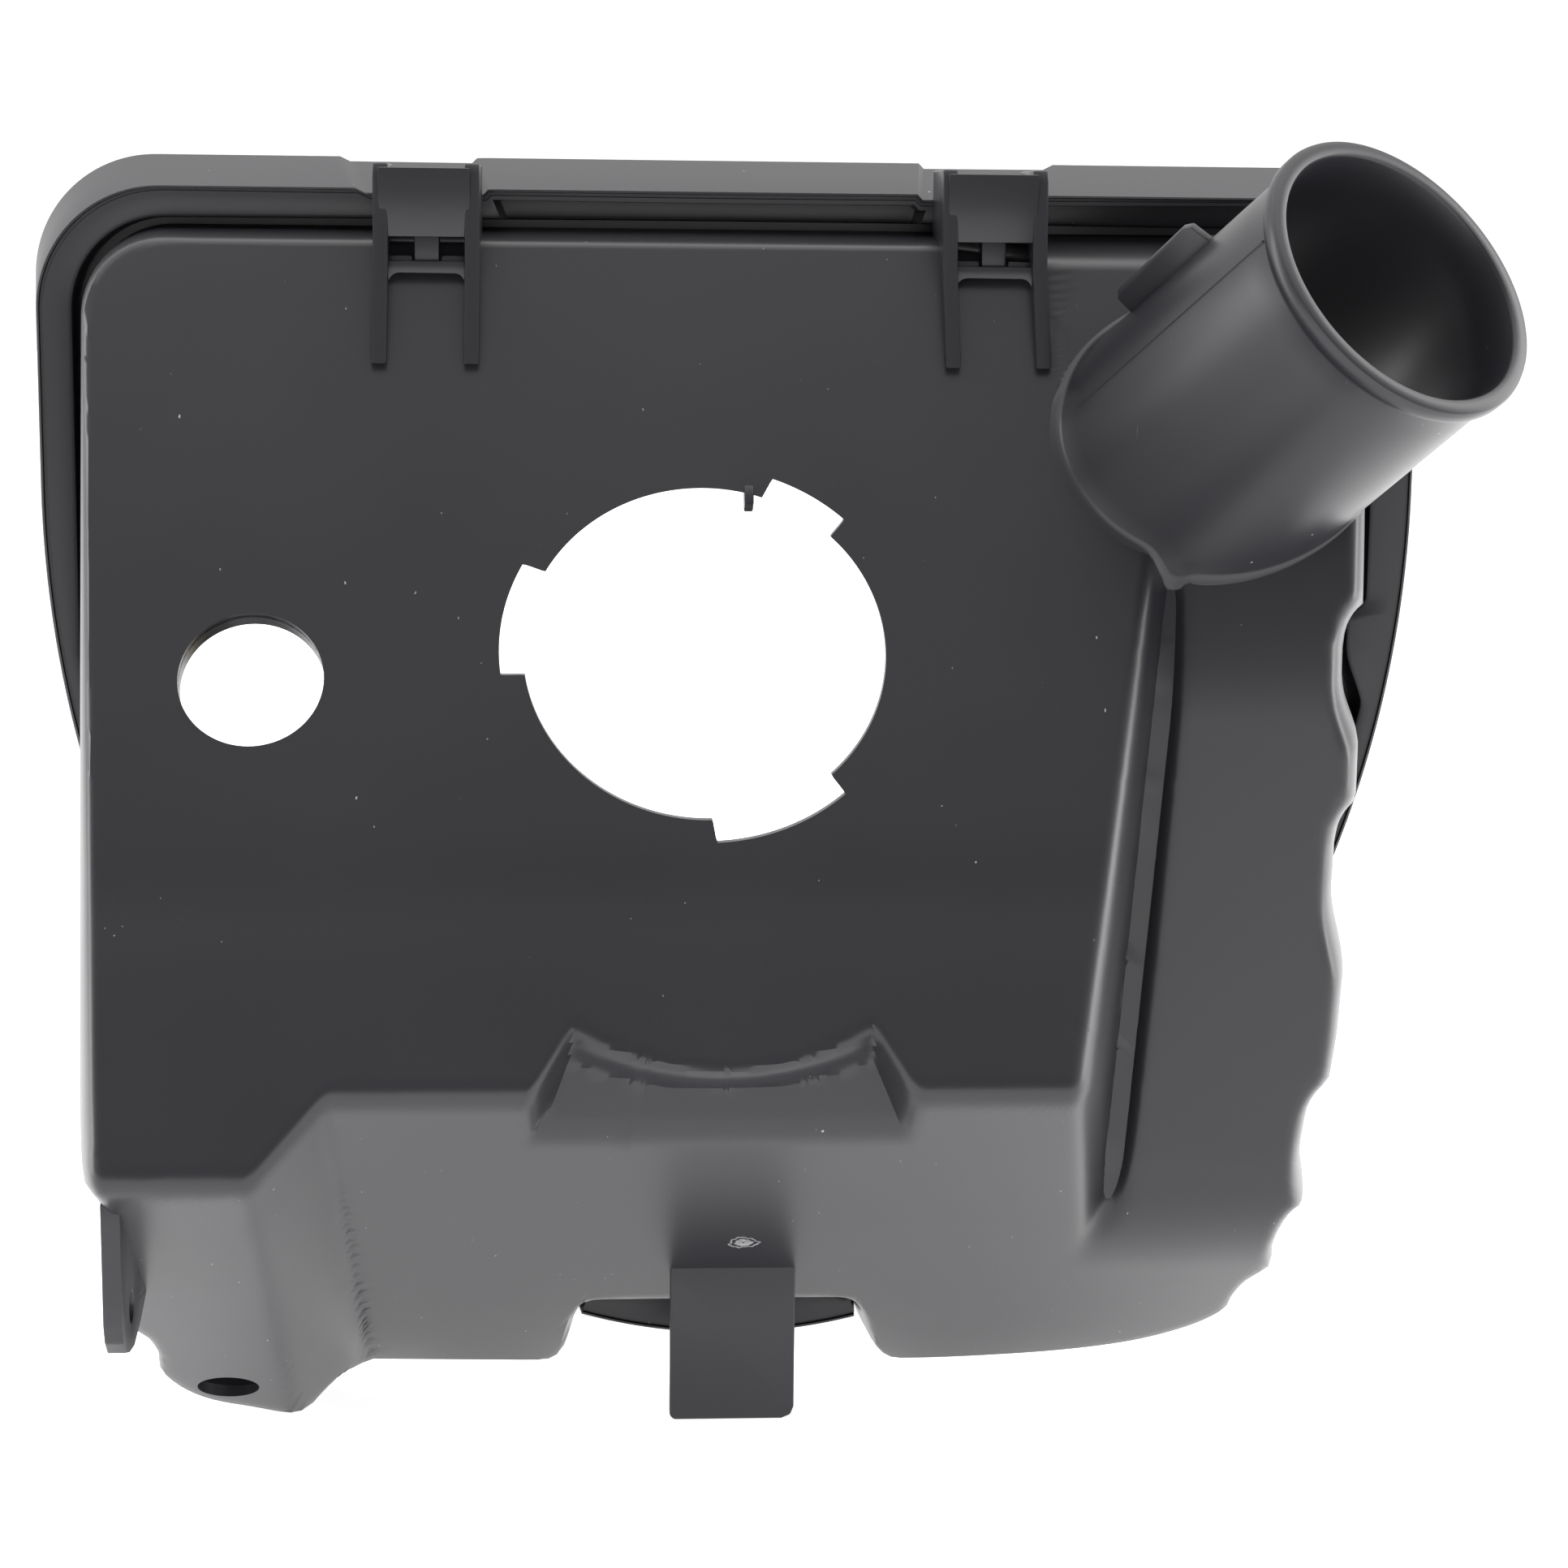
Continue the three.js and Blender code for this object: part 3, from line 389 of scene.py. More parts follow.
def outlineDistance(points, outline):
    # least distance from each point to the closed outline, taken in slabs of points
    a = outline
    along = np.roll(outline, -1, axis=0) - a
    length = (along ** 2).sum(1)
    keep = length > 1e-9
    a, along, length = a[keep], along[keep], length[keep]
    flat = points.reshape(-1, 2)
    found = []
    for slab in np.array_split(flat, max(1, len(flat) // 1500)):
        rel = slab[:, None] - a
        t = np.clip((rel * along).sum(2) / length, 0, 1)
        found.append(np.sqrt(((rel - t[..., None] * along) ** 2).sum(2).min(1)))
    return np.concatenate(found).reshape(points.shape[:-1])


def softMin(a, b, radius):
    # the lesser of two, rounded over radius where they cross
    k = np.maximum(radius - np.abs(a - b), 0) / radius
    return np.minimum(a, b) - k * k * radius / 4


def wallDepth(z):
    # depth of the sloping wall in front of the rim plane
    v = bodyValues
    return v["depthTop"] + v["lean"] * (v["leanStart"] - z)


def bottomDepth(z, side, inset):
    # depth of a bottom wall: it starts at the sloping wall's lower edge and runs back as it goes down
    v = bodyValues
    frontZ, slope = v[side + "FrontZ"], v[side + "Slope"]
    return wallDepth(frontZ) - (frontZ - z) / slope - inset * np.hypot(1, 1 / slope)


def pocketDepth(x, z):
    # the greatest of floor, roof and flanks; the roof's slope eases off to the sides
    p = pocketValues
    u = np.abs(x - p["x"])
    lip = p["lip"] + p["bow"] * u ** 2
    slope = p["roofSlope"] - p["roofEase"] * np.minimum(u / p["roofReach"], 1) ** 2
    roof = p["floor"] + slope * (z - lip)
    flank = p["floor"] + p["flankSlope"] * (u - p["half"] - p["spread"] * (p["spreadFrom"] - z))
    return np.maximum(np.maximum(roof, flank), p["floor"])


def bodyPlanes(x, z, inset):
    # depth in front of the rim plane: the softened least of sloping wall, bottom walls, duct panel and arc pocket
    v = bodyValues
    main = wallDepth(z) - inset * np.hypot(1, v["lean"])
    foot = v["ductFootX"] - inset + (z - v["midFrontZ"]) * v["ductFootLean"]
    panel = v["ductDepth"] - inset
    if inset == 0:
        main = main - v["bendDepth"] * np.exp(-((z - v["bendZ"]) / v["bendWidth"]) ** 2)
        main = main + v["patchHeight"] * smoothStep(x, *v["patchX"]) * smoothStep(z, *v["patchZ"])
        across = np.exp(-((x - foot - v["valleyFromFoot"]) / v["valleyWidth"]) ** 2)
        panel = panel - v["valleyDepth"] * across * smoothStep(z, *v["valleyLow"]) * smoothStep(z, *v["valleyHigh"])
    mid = bottomDepth(z, "mid", inset)
    stepWall = mid + v["stepSteepness"] * np.maximum(0, v["stepX"] - inset - x)
    stepWall = -softMin(-stepWall, -mid, v["stepFillet"])
    bottom = np.maximum(softMin(bottomDepth(z, "left", inset), stepWall, v["stepRound"]), 0)
    flank = panel - softMin(-(foot - x) * v["ductFlank"], 0, v["flankFillet"])
    depth = softMin(softMin(main, bottom, v["edgeRound"]), flank, v["flankRound"])
    return softMin(depth, pocketDepth(x, z) - inset, pocketValues["round"])


def bodyDepth(points, outline, inset):
    # the softened least of the planes and of the drafted side wall, and that side wall
    v = bodyValues
    x, z = points[..., 0], points[..., 1]
    draft = v["draftLeft"] + (v["draftRight"] - v["draftLeft"]) * smoothStep(x, *v["draftSplit"])
    side = outlineDistance(points, outline) / draft
    planes = bodyPlanes(x, z, inset)
    return softMin(planes, side, np.maximum(v["sideRound"] * planes, v["leastSideRound"])), side


def spanned(value, low, high, edge):
    # one between low and high, with soft ends
    return smoothStep(value, low - edge, low + edge) * smoothStep(value, high + edge, high - edge)


def boreOutline(angle, lugEdge=0.6):
    # the bayonet bore in the sloping wall: a round hole with three lug notches, given at angles in the wall's plane
    v = bodyValues
    degrees = np.degrees(angle)
    radius = np.full_like(angle, v["boreRadius"])
    for low, high in v["lugs"]:
        for turn in (-360, 0, 360):
            radius += (v["lugRadius"] - v["boreRadius"]) * spanned(degrees, low + turn, high + turn, lugEdge)
    scale = np.hypot(1, v["lean"])
    return np.stack([v["boreX"] + radius * np.cos(angle), v["boreZ"] + radius * np.sin(angle) / scale], -1)


rimValues = {
    "halfWidth": 172.0, "bottom": 16.0, "corner": 30.0, "archZ": 236.0, "depth": 22.0,
    "flareTop": 7.5, "flareSide": 3.2, "middleZ": 166.0, "slotDepth": 11.0, "upperPart": 290,
    "dipDepth": 1.4, "coveredDepth": 1.2, "bodyGap": 1.2,
    "leastFlange": 6, "bead": 0.9, "lipDeep": 9.0, "lipShallow": 6.8, "lipWidth": 2.4}


def archOutline(inset, topInset=None):
    # the rim's outline: straight sides and round upper corners over half an ellipse
    r = rimValues
    half, low = r["halfWidth"] - inset, r["bottom"] + inset
    high = rimTop - (inset if topInset is None else topInset)
    turn = np.linspace(np.pi, 2 * np.pi, 240, endpoint=False)
    arch = np.stack([half * np.cos(turn), r["archZ"] + (r["archZ"] - low) * np.sin(turn)], -1)
    corner = r["corner"]
    return np.concatenate([
        straight((-half, high - corner), (-half, r["archZ"])), arch,
        straight((half, r["archZ"]), (half, high - corner)),
        arc(half - corner, high - corner, corner, 0, 90), straight((half - corner, high), (-half + corner, high)),
        arc(-half + corner, high - corner, corner, 90, 180)])


def aroundBore(outline):
    # the angle of each point of an outline about the bore, in the sloping wall's plane
    v = bodyValues
    scale = np.hypot(1, v["lean"])
    return np.unwrap(np.arctan2((outline[:, 1] - v["boreZ"]) * scale, outline[:, 0] - v["boreX"]))


def outlineAt(outline, angle):
    # the outline's points at angles about the bore
    found = aroundBore(outline)
    wanted = found[0] + np.mod(angle - found[0], 2 * np.pi)
    known = np.append(found, found[0] + 2 * np.pi)
    return np.stack([np.interp(wanted, known, np.append(outline[:, k], outline[0, k])) for k in (0, 1)], -1)


def evenAngles(outline, angle, count):
    # angles that lie evenly along an outline's length
    steps = np.linalg.norm(np.roll(outline, -1, axis=0) - outline, axis=1)
    length = np.concatenate([[0], np.cumsum(steps)])[:-1]
    return np.interp(np.linspace(0, steps.sum(), count, endpoint=False), length, angle)


def rayAngles(count):
    # the body's rays: even along the outline, and gathered at the edges of the bore's lug notches
    outline = bodyOutline(0.0)
    angle = aroundBore(outline)
    edges = np.radians(np.array(bodyValues["lugs"], float).ravel())
    extra = (edges[:, None] + np.radians([-0.6, -0.3, 0.0, 0.3, 0.6])).ravel()
    extra = angle[0] + np.mod(extra - angle[0], 2 * np.pi)
    return np.sort(np.concatenate([evenAngles(outline, angle, count), extra]))


def rayGrid(inset, rays, sideRows, creaseSteps, restRows):
    # points on rays from the outline in to the bore, with rows gathered where side wall and planes cross
    outline = bodyOutline(-inset)
    outer = outlineAt(outline, rays)
    inner = boreOutline(rays)
    tries = np.linspace(0, 0.5, 120)[:, None, None]
    points = outer * (1 - tries) + inner * tries
    side = bodyDepth(points, outline, inset)[1]
    crossed = np.argmax(side >= bodyPlanes(points[..., 0], points[..., 1], inset), axis=0)
    crease = np.maximum(tries[crossed, 0, 0], 0.01)
    crease = sum(np.roll(crease, k) for k in range(-3, 4)) / 7
    first = np.linspace(0, 0.9, sideRows)[:, None] * crease
    middle = np.asarray(creaseSteps)[:, None] * crease
    rest = middle[-1] + (1 - middle[-1]) * (np.arange(1, restRows + 1) / restRows)[:, None]
    t = np.concatenate([first, middle, rest])[..., None]
    points = outer * (1 - t) + inner * t
    depth = bodyDepth(points, outline, inset)[0]
    if inset == 0:
        depth[0] = 0
    return np.stack([points[..., 0], -np.maximum(depth, inset), points[..., 1]], -1)


rays = rayAngles(470)
outerSkin = rayGrid(0.0, rays, 18, [0.93, 0.96, 0.985, 1.01, 1.035, 1.06, 1.1, 1.16, 1.24, 1.36], 96)
innerSkin = rayGrid(bodyValues["wall"], rays, 10, [0.95, 1.0, 1.06, 1.2], 26)
# the lobes that hang below the rim have a back wall, so the open side follows the lesser of body and rim
bore = np.array([bodyValues["boreX"], bodyValues["boreZ"]])
opening = outlineAt(archOutline(bodyValues["wall"]), rays)
ownEdge = innerSkin[0][:, [0, 2]]
openingIsLess = np.linalg.norm(opening - bore, axis=1) < np.linalg.norm(ownEdge - bore, axis=1)
edge = np.where(openingIsLess[:, None], opening, ownEdge)
backRows = np.stack([np.insert(edge, 1, -bodyValues["wall"], axis=1), np.insert(edge, 1, 0.0, axis=1)])
skinPoints = np.concatenate([outerSkin, innerSkin[::-1], backRows])
body = addPiece("housingBody", skinPoints.reshape(-1, 3), gridFaces(len(skinPoints), len(rays), closedRows=True),
                ["housing_shell"], sharp=38)
print("housing body made", *skinPoints.shape[:2])

# holes: a breather hole in the sloping wall, the drain in the left block, and the snorkel's opening
holeValues = {"breather": (-111.6, 199.8), "breatherRadius": 16.2, "drain": (-124.3, 18.1), "drainRadius": 7.5}
snorkelValues = {
    "mouth": (142.5, -106.5, 291.5), "axis": (0.455, -0.686, 0.568), "radius": 34.2, "taper": 0.017, "wall": 2.6,
    "lip": 1.6, "fillet": 1.8, "wallNear": 20.0, "wallFar": 125.0, "edgeAt": 70}
wallNormal = np.array([0, -1, bodyValues["lean"]]) / np.hypot(1, bodyValues["lean"])


def onWall(x, z):
    # a point on the sloping wall
    return np.array([x, -wallDepth(z), z])


def onBottom(x, z, side):
    # a point on a bottom wall, and that wall's outward normal
    slope = bodyValues[side + "Slope"]
    return np.array([x, -bottomDepth(z, side, 0.0), z]), np.array([0, -slope, -1]) / np.hypot(1, slope)


def tubeRadius(fromMouth):
    # the tube widens evenly away from its mouth
    return snorkelValues["radius"] + snorkelValues["taper"] * fromMouth


sideHole = onWall(*holeValues["breather"])
breatherRadius = holeValues["breatherRadius"]
cutWith(body, *coneSolid(sideHole - wallNormal * 12, wallNormal, 24, breatherRadius, breatherRadius))
drainPlace, drainNormal = onBottom(*holeValues["drain"], "left")
drainRadius = holeValues["drainRadius"]
cutWith(body, *coneSolid(drainPlace - drainNormal * 8, drainNormal, 16, drainRadius, drainRadius, 48))
axis = np.array(snorkelValues["axis"]) / np.linalg.norm(snorkelValues["axis"])
mouth = np.array(snorkelValues["mouth"])
openingFrom, openingTo, openingInset = 100, 25, 1.2
cutWith(body, *coneSolid(mouth - axis * openingFrom, axis, openingFrom - openingTo,
                         tubeRadius(openingFrom) - openingInset, tubeRadius(openingTo) - openingInset))
shade(body, 38)
print("housing holes cut")

# ---- rim ----
slotSpans = ((-60.0, 46.0), (74.5, 152.0))
catchSpans = ((-91.6, -60.6), (44.5, 75.0))


def radiusAt(outline, angle):
    # distance from the rim's middle to the outline, at each angle
    rel = outline - [0, rimValues["middleZ"]]
    a = np.arctan2(rel[:, 1], rel[:, 0])
    order = np.argsort(a)
    a, r = a[order], np.linalg.norm(rel, axis=1)[order]
    return np.interp(angle, np.concatenate([a - 2 * np.pi, a, a + 2 * np.pi]), np.tile(r, 3))


v = rimValues
backOutline = archOutline(0.0)
rel = backOutline - [0, v["middleZ"]]
angle = evenAngles(backOutline, np.unwrap(np.arctan2(rel[:, 1], rel[:, 0])), 620)
rimAngle = np.arctan2(np.sin(angle), np.cos(angle))
back = radiusAt(backOutline, rimAngle)
front = radiusAt(archOutline(v["flareSide"], v["flareTop"]), rimAngle)
bodyRadius = radiusAt(bodyOutline(0.0), rimAngle)
inside = np.minimum(bodyRadius + v["bodyGap"], front - v["leastFlange"])
# where the rim lies behind the body it shrinks to a thin wall
covered = smoothStep(bodyRadius - front, 0, 5)
topX = front * np.cos(rimAngle)
isUpper = v["middleZ"] + front * np.sin(rimAngle) > v["upperPart"]
slot = sum(spanned(topX, low, high, 0.4) for low, high in slotSpans) * isUpper
dip = v["dipDepth"] * sum(spanned(topX, low, high, 0.3) for low, high in catchSpans) * isUpper
back, front = back - dip, front - dip
deep = -v["depth"] * (1 - covered) - v["coveredDepth"] * covered
share = -deep / v["depth"]
face = deep + v["slotDepth"] * slot
bead = deep + v["bead"] * share
lipDeep, lipShallow, lipWidth = -v["lipDeep"] * share, -v["lipShallow"] * share, v["lipWidth"]
# the rim's section, out from the back edge, over the skirt, the fine groove, the flange face and round to the back
section = [
    (back, 0 * back), ((back + front) / 2, deep / 2), (front + 0.05, bead), (front - 0.25, deep + 0.25 * share),
    (front - 0.8, deep), (front - 1.0, bead), (front - 1.7, bead), (front - 1.9, deep),
    (front - 2.9, deep), (front - 3.0, face), (inside + 1.2, face), (inside + 0.3, face + 0.3 * share),
    (inside, face + share), (inside, lipDeep), (inside - lipWidth, lipDeep), (inside - lipWidth, lipShallow),
    (inside + lipWidth, lipShallow), (front - 3.2, lipShallow), (back - 2.6, -5.5 * share), (back - lipWidth, 0 * back)]
rimPoints = np.stack([
    np.stack([r * np.cos(rimAngle), y, v["middleZ"] + r * np.sin(rimAngle)], -1) for r, y in section])
addPiece("housingRim", rimPoints.reshape(-1, 3), gridFaces(len(section), len(rimAngle), closedRows=True),
         ["housing_shell"], sharp=30)
print("rim made")

# ---- inlet snorkel ----
def bodyFront(points):
    # above zero in front of the body's outer surface
    flat = points[..., [0, 2]]
    outline = bodyOutline(0.0)
    depth = bodyDepth(flat, outline, 0.0)[0]
    rel = flat - [0, rimValues["middleZ"]]
    outside = np.linalg.norm(rel, axis=-1) > radiusAt(outline, np.arctan2(rel[..., 1], rel[..., 0]))
    farBehind = -50
    return -points[..., 1] - np.where(outside, farBehind, depth)


def smoothed(values):
    # each value averaged with its neighbours round the ring
    return (np.roll(values, 1) + 2 * values + np.roll(values, -1)) / 4


def wallHit(radius, angles, side, up):
    # how far each straight line down the tube runs from the mouth before it meets the body
    ring = mouth + radius[:, None] * (np.cos(angles)[:, None] * side + np.sin(angles)[:, None] * up)
    near, far = snorkelValues["wallNear"], snorkelValues["wallFar"]
    samples = np.linspace(near, far, int(far - near) + 1)
    inBody = bodyFront(ring[:, None] - samples[None, :, None] * axis) < 0
    high = samples[np.where(inBody.any(1), np.argmax(inBody, axis=1), len(samples) - 1)]
    low = high - 1.0
    for _ in range(12):
        middle = (low + high) / 2
        within = bodyFront(ring - middle[:, None] * axis) < 0
        high = np.where(within, middle, high)
        low = np.where(within, low, middle)
    return smoothed((low + high) / 2)


s = snorkelValues
sideways = np.cross(axis, [0.0, 0.0, 1.0])
sideways /= np.linalg.norm(sideways)
upwards = np.cross(axis, sideways)
turns = np.linspace(0, 2 * np.pi, 180, endpoint=False)
lip, r0, wall, fillet = s["lip"], s["radius"], s["wall"], s["fillet"]
ones = np.ones_like(turns)
hit = wallHit(ones * tubeRadius(s["edgeAt"]), turns, sideways, upwards)
hitWide = wallHit(ones * (tubeRadius(s["edgeAt"]) + fillet), turns, sideways, upwards)
# radius and distance from the mouth: round the lip, down the outside, out over the fillet and back up the inside
lipRows = (
    (r0 - wall, 0.8), (r0 - wall + 0.5, 0.1), (r0 - wall + 0.9, 0.0), (r0 + lip - 1.0, 0.0), (r0 + lip - 0.3, 0.3),
    (r0 + lip, 1.0), (r0 + lip, 3.0), (r0 + lip - 0.3, 3.7), (r0 + lip - 1.0, 4.0), (r0 + 0.25, 4.4),
    (r0 + 0.1, 5.4))
tubeRows = [(ones * radius, ones * along) for radius, along in lipRows]
outsideFrom = 6
for share in np.linspace(0, 1, 16)[1:]:
    along = outsideFrom + (hit - fillet - outsideFrom) * share
    tubeRows.append((tubeRadius(along), along))
for turn in np.radians([15, 30, 45, 60, 75, 90]):
    spread = 1 - np.cos(turn)
    along = hit - fillet + fillet * np.sin(turn)
    target = hit + (hitWide - hit) * spread + 0.15
    tubeRows.append((tubeRadius(hit) + fillet * spread, along * np.cos(turn) + target * spread))
tubeRows.append((tubeRadius(hit) + fillet, hitWide + 0.5))
tubeRows.append((tubeRadius(hit) - wall + 0.6, hit + 3.4))
tubeRows.append((tubeRadius(hit) - wall, hit + 3.2))
for share in (0.75, 0.5, 0.25):
    tubeRows.append((tubeRadius(hit * share) - wall, hit * share + 1))
spokes = np.cos(turns)[:, None] * sideways + np.sin(turns)[:, None] * upwards
tubePoints = np.stack([mouth - axis * along[:, None] + radius[:, None] * spokes for radius, along in tubeRows])
addPiece("snorkelTube", tubePoints.reshape(-1, 3), gridFaces(len(tubeRows), len(turns), closedRows=True),
         ["inlet_snorkel"], sharp=40)
print("snorkel made")

# ---- catches ----
catchValues = {
    "centres": {"catch_left": -74.2, "catch_right": 60.0}, "width": 25.0, "rib": 3.6, "front": 9.6, "capTop": 314.0,
    "capLow": 297.0, "crossTop": 291.4, "crossLow": 288.6, "ribLow": 268.0, "archRound": 2.6, "flangeY": -21.0,
    "centreRib": 2.9, "pocketX": 6.4, "pocketHalf": 3.0}
c = catchValues
capFront = -wallDepth(bodyValues["top"]) - c["front"]
rib = [(c["flangeY"], c["capTop"]), (capFront + 2, c["capTop"]), (capFront + 0.6, c["capTop"] - 3),
       (capFront - 1.2, c["crossTop"]), (-wallDepth(c["ribLow"]) - 2.0, c["ribLow"]),
       (-wallDepth(c["ribLow"]) + 1.2, c["ribLow"]), (-wallDepth(290) + 1.2, 290.0), (-37.0, 296.0),
       (c["flangeY"], 298.0)]
for node, x in c["centres"].items():
    left, right = x - c["width"] / 2, x + c["width"] / 2
    parts = [extruded(rib, 0, left, left + c["rib"]), extruded(rib, 0, right - c["rib"], right)]
    parts.append(block(left + 1.2, right - 2.2, capFront - 0.1, capFront + 2.4, c["capLow"], c["capTop"] - 1.0))
    parts.append(block(left + 1.0, right - 1.0, capFront + 1.0, c["flangeY"], c["capTop"] - 4.0, c["capTop"] - 1.6))
    # the crossbar's lower edge is an arch with rounded corners
    fillet, inner = c["archRound"], c["width"] / 2 - c["rib"]
    cornerZ = c["crossLow"] - fillet
    archTop = np.concatenate([arc(x + inner - fillet, cornerZ, fillet, 0, 91, 6),
                              arc(x - inner + fillet, cornerZ, fillet, 90, 181, 6)])
    bar = np.concatenate([[(left + 1, c["crossTop"]), (left + 1, cornerZ)], archTop[::-1],
                          [(right - 1, cornerZ), (right - 1, c["crossTop"])]])
    parts.append(extruded(bar, 1, capFront, capFront + 3.4))
    parts.append(block(x - c["centreRib"], x + c["centreRib"], capFront + 2.0, -wallDepth(296) + 1.0,
                       c["crossLow"] + 0.4, c["capLow"] + 2))
    for middle in (x - c["pocketX"], x + c["pocketX"]):
        parts.append(block(middle - c["pocketHalf"], middle + c["pocketHalf"], capFront + 2.2, capFront + 3.2,
                           c["crossTop"] - 1, c["crossTop"] + 1.2))
    addPiece(node.replace("catch_", "catch") + "Hook", *joined(parts), [node], sharp=30, rounded=0.45)
print("catches made")

# ---- tab, ear and fin ----
tabValues = {"x": -1.0, "width": 30.5, "front": -62.0, "thick": 4.0, "low": 11.4, "top": 51.0}
t = tabValues
left, right, low = t["x"] - t["width"] / 2, t["x"] + t["width"] / 2, t["low"]
corner = [(left, t["top"]), (left, low + 1), (left + 1, low), (right - 3, low), (right - 0.8, low + 0.9),
          (right, low + 3), (right, t["top"])]
addPiece("mountingTab", *extruded(corner, 1, t["front"], t["front"] + t["thick"]), ["mounting_tab"],
         sharp=30, rounded=0.6, segments=3)

earValues = {
    "x": -138.3, "thick": 4.2, "holeY": -132.3, "holeZ": 66.2, "holeRadius": 3.6,
    "edge": ((-147, 94), (-147, 67), (-145.5, 62.5), (-142, 59), (-136, 57), (-129, 56), (-118, 58.2), (-104.8, 62.4),
             (-104.8, 70), (-118, 84), (-134, 96), (-141, 99))}
e = earValues
boltHole = [e["holeY"], e["holeZ"]]


def aroundHole(points):
    # the angle of each point about the bolt hole
    rel = points - boltHole
    return np.arctan2(rel[:, 1], rel[:, 0])


earEdge = np.array(e["edge"], float)
order = np.argsort(aroundHole(earEdge))
loop = np.concatenate([earEdge[order], earEdge[order][:1]])
fine = np.concatenate([straight(a, b, 6) for a, b in zip(loop[:-1], loop[1:])])
a = aroundHole(fine)
hole = boltHole + e["holeRadius"] * np.stack([np.cos(a), np.sin(a)], -1)
half = e["thick"] / 2
earRings = [np.insert(ring, 0, e["x"] + end, axis=1)
            for ring, end in ((fine, -half), (fine, half), (hole, half), (hole, -half))]
addPiece("mountingEar", np.concatenate(earRings), gridFaces(4, len(fine), closedRows=True), ["mounting_ear"],
         sharp=30, rounded=0.4)

finValues = {"length": 30.0, "height": 6.2, "thick": 2.6, "fromMouth": 44.0, "out": (-0.62, -0.05, 0.78), "root": -1.5}
f = finValues
finOut = np.array(f["out"])
finOut -= finOut.dot(axis) * axis
finOut /= np.linalg.norm(finOut)
finSide = np.cross(axis, finOut)
half, high = f["length"] / 2, f["height"]
flat = [(-half, f["root"]), (half, f["root"]), (half - 1, high - 1), (half - 3, high), (-half + 2, high),
        (-half, high - 1.5)]
base = mouth - axis * f["fromMouth"] + finOut * tubeRadius(f["fromMouth"])
slabPoints, faces = extruded(flat, 2, -f["thick"] / 2, f["thick"] / 2)
addPiece("snorkelFin", base + slabPoints @ np.array([axis, finOut, finSide]), faces, ["snorkel_fin"],
         sharp=30, rounded=0.5)
print("tab, ear and fin made")

# ---- small moulded details: gate mark, breather collar, bayonet stop and the tube's parting ridge ----
detailValues = {
    "gate": (0.7, 62.0), "gateRadius": 9.3, "tornness": 0.1, "collarDepth": 5.0, "collarFrom": 1.0, "collarWall": 1.6,
    "stopAngle": 75.0, "stopHalf": 1.1, "stopDeep": (-2.2, 2.6), "stopHigh": (-3.4, 1.2),
    "ridgeAngle": 35.0, "ridgeFrom": 5.6, "ridgeTo": 74, "ridgeSteps": 30}
d = detailValues


def ringSolid(centre, direction, profile, sides=72, waviness=0.0):
    # a closed profile of radius and height carried round a line; waviness varies the radius for a torn edge
    direction = np.asarray(direction, float) / np.linalg.norm(direction)
    across = np.cross(direction, [1.0, 0.0, 0.0])
    across /= np.linalg.norm(across)
    turn = np.linspace(0, 2 * np.pi, sides, endpoint=False)
    spoke = np.cos(turn)[:, None] * across + np.sin(turn)[:, None] * np.cross(direction, across)
    bumps = 1 + waviness * (np.sin(3 * turn + 0.7) + 0.7 * np.sin(7 * turn) + 0.5 * np.sin(13 * turn + 2))
    rows = [centre + spoke * (r * bumps)[:, None] + direction * h for r, h in profile]
    return np.concatenate(rows), gridFaces(len(profile), sides, closedRows=True)


gatePlace, midNormal = onBottom(*d["gate"], "mid")
g = d["gateRadius"]
ring = [(g, -0.6), (g, 0.2), (g - 0.4, 0.35), (g - 0.9, 0.3), (g - 1.2, 0.05), (g - 1.2, -0.6)]
addPiece("gateRing", *ringSolid(gatePlace, midNormal, ring), [], sharp=40)
stub = [(4.4, -0.5), (4.3, 0.25), (3.4, 0.9), (2.6, 0.5), (1.6, 1.1), (0.4, 0.8), (0.4, -0.5)]
# the stub's pale mottle is a painted highlight of its shiny torn face
addPiece("gateStub", *ringSolid(gatePlace, midNormal, stub, 60, d["tornness"]), [], gateStubHighlightPlastic, sharp=20)
collarOut, near = breatherRadius + d["collarWall"], -d["collarFrom"]
far = near - d["collarDepth"]
collar = [(breatherRadius, near), (collarOut, near), (collarOut, far), (breatherRadius, far)]
addPiece("breatherCollar", *ringSolid(sideHole, wallNormal, collar, 96), [], sharp=40)

# the stop is a small peg that hangs into the bayonet bore
stopTurn = np.radians(d["stopAngle"])
wallUp = np.array([0, bodyValues["lean"], 1]) / np.hypot(1, bodyValues["lean"])
toRight = np.array([1, 0, 0])
stopPlace = onWall(bodyValues["boreX"], bodyValues["boreZ"])
stopPlace = stopPlace + bodyValues["boreRadius"] * (np.cos(stopTurn) * toRight + np.sin(stopTurn) * wallUp)
pegPoints, pegFaces = block(-d["stopHalf"], d["stopHalf"], *d["stopDeep"], *d["stopHigh"])
addPiece("bayonetStop", stopPlace + pegPoints @ np.array([toRight, -wallNormal, wallUp]), pegFaces, [],
         sharp=30, rounded=0.4)

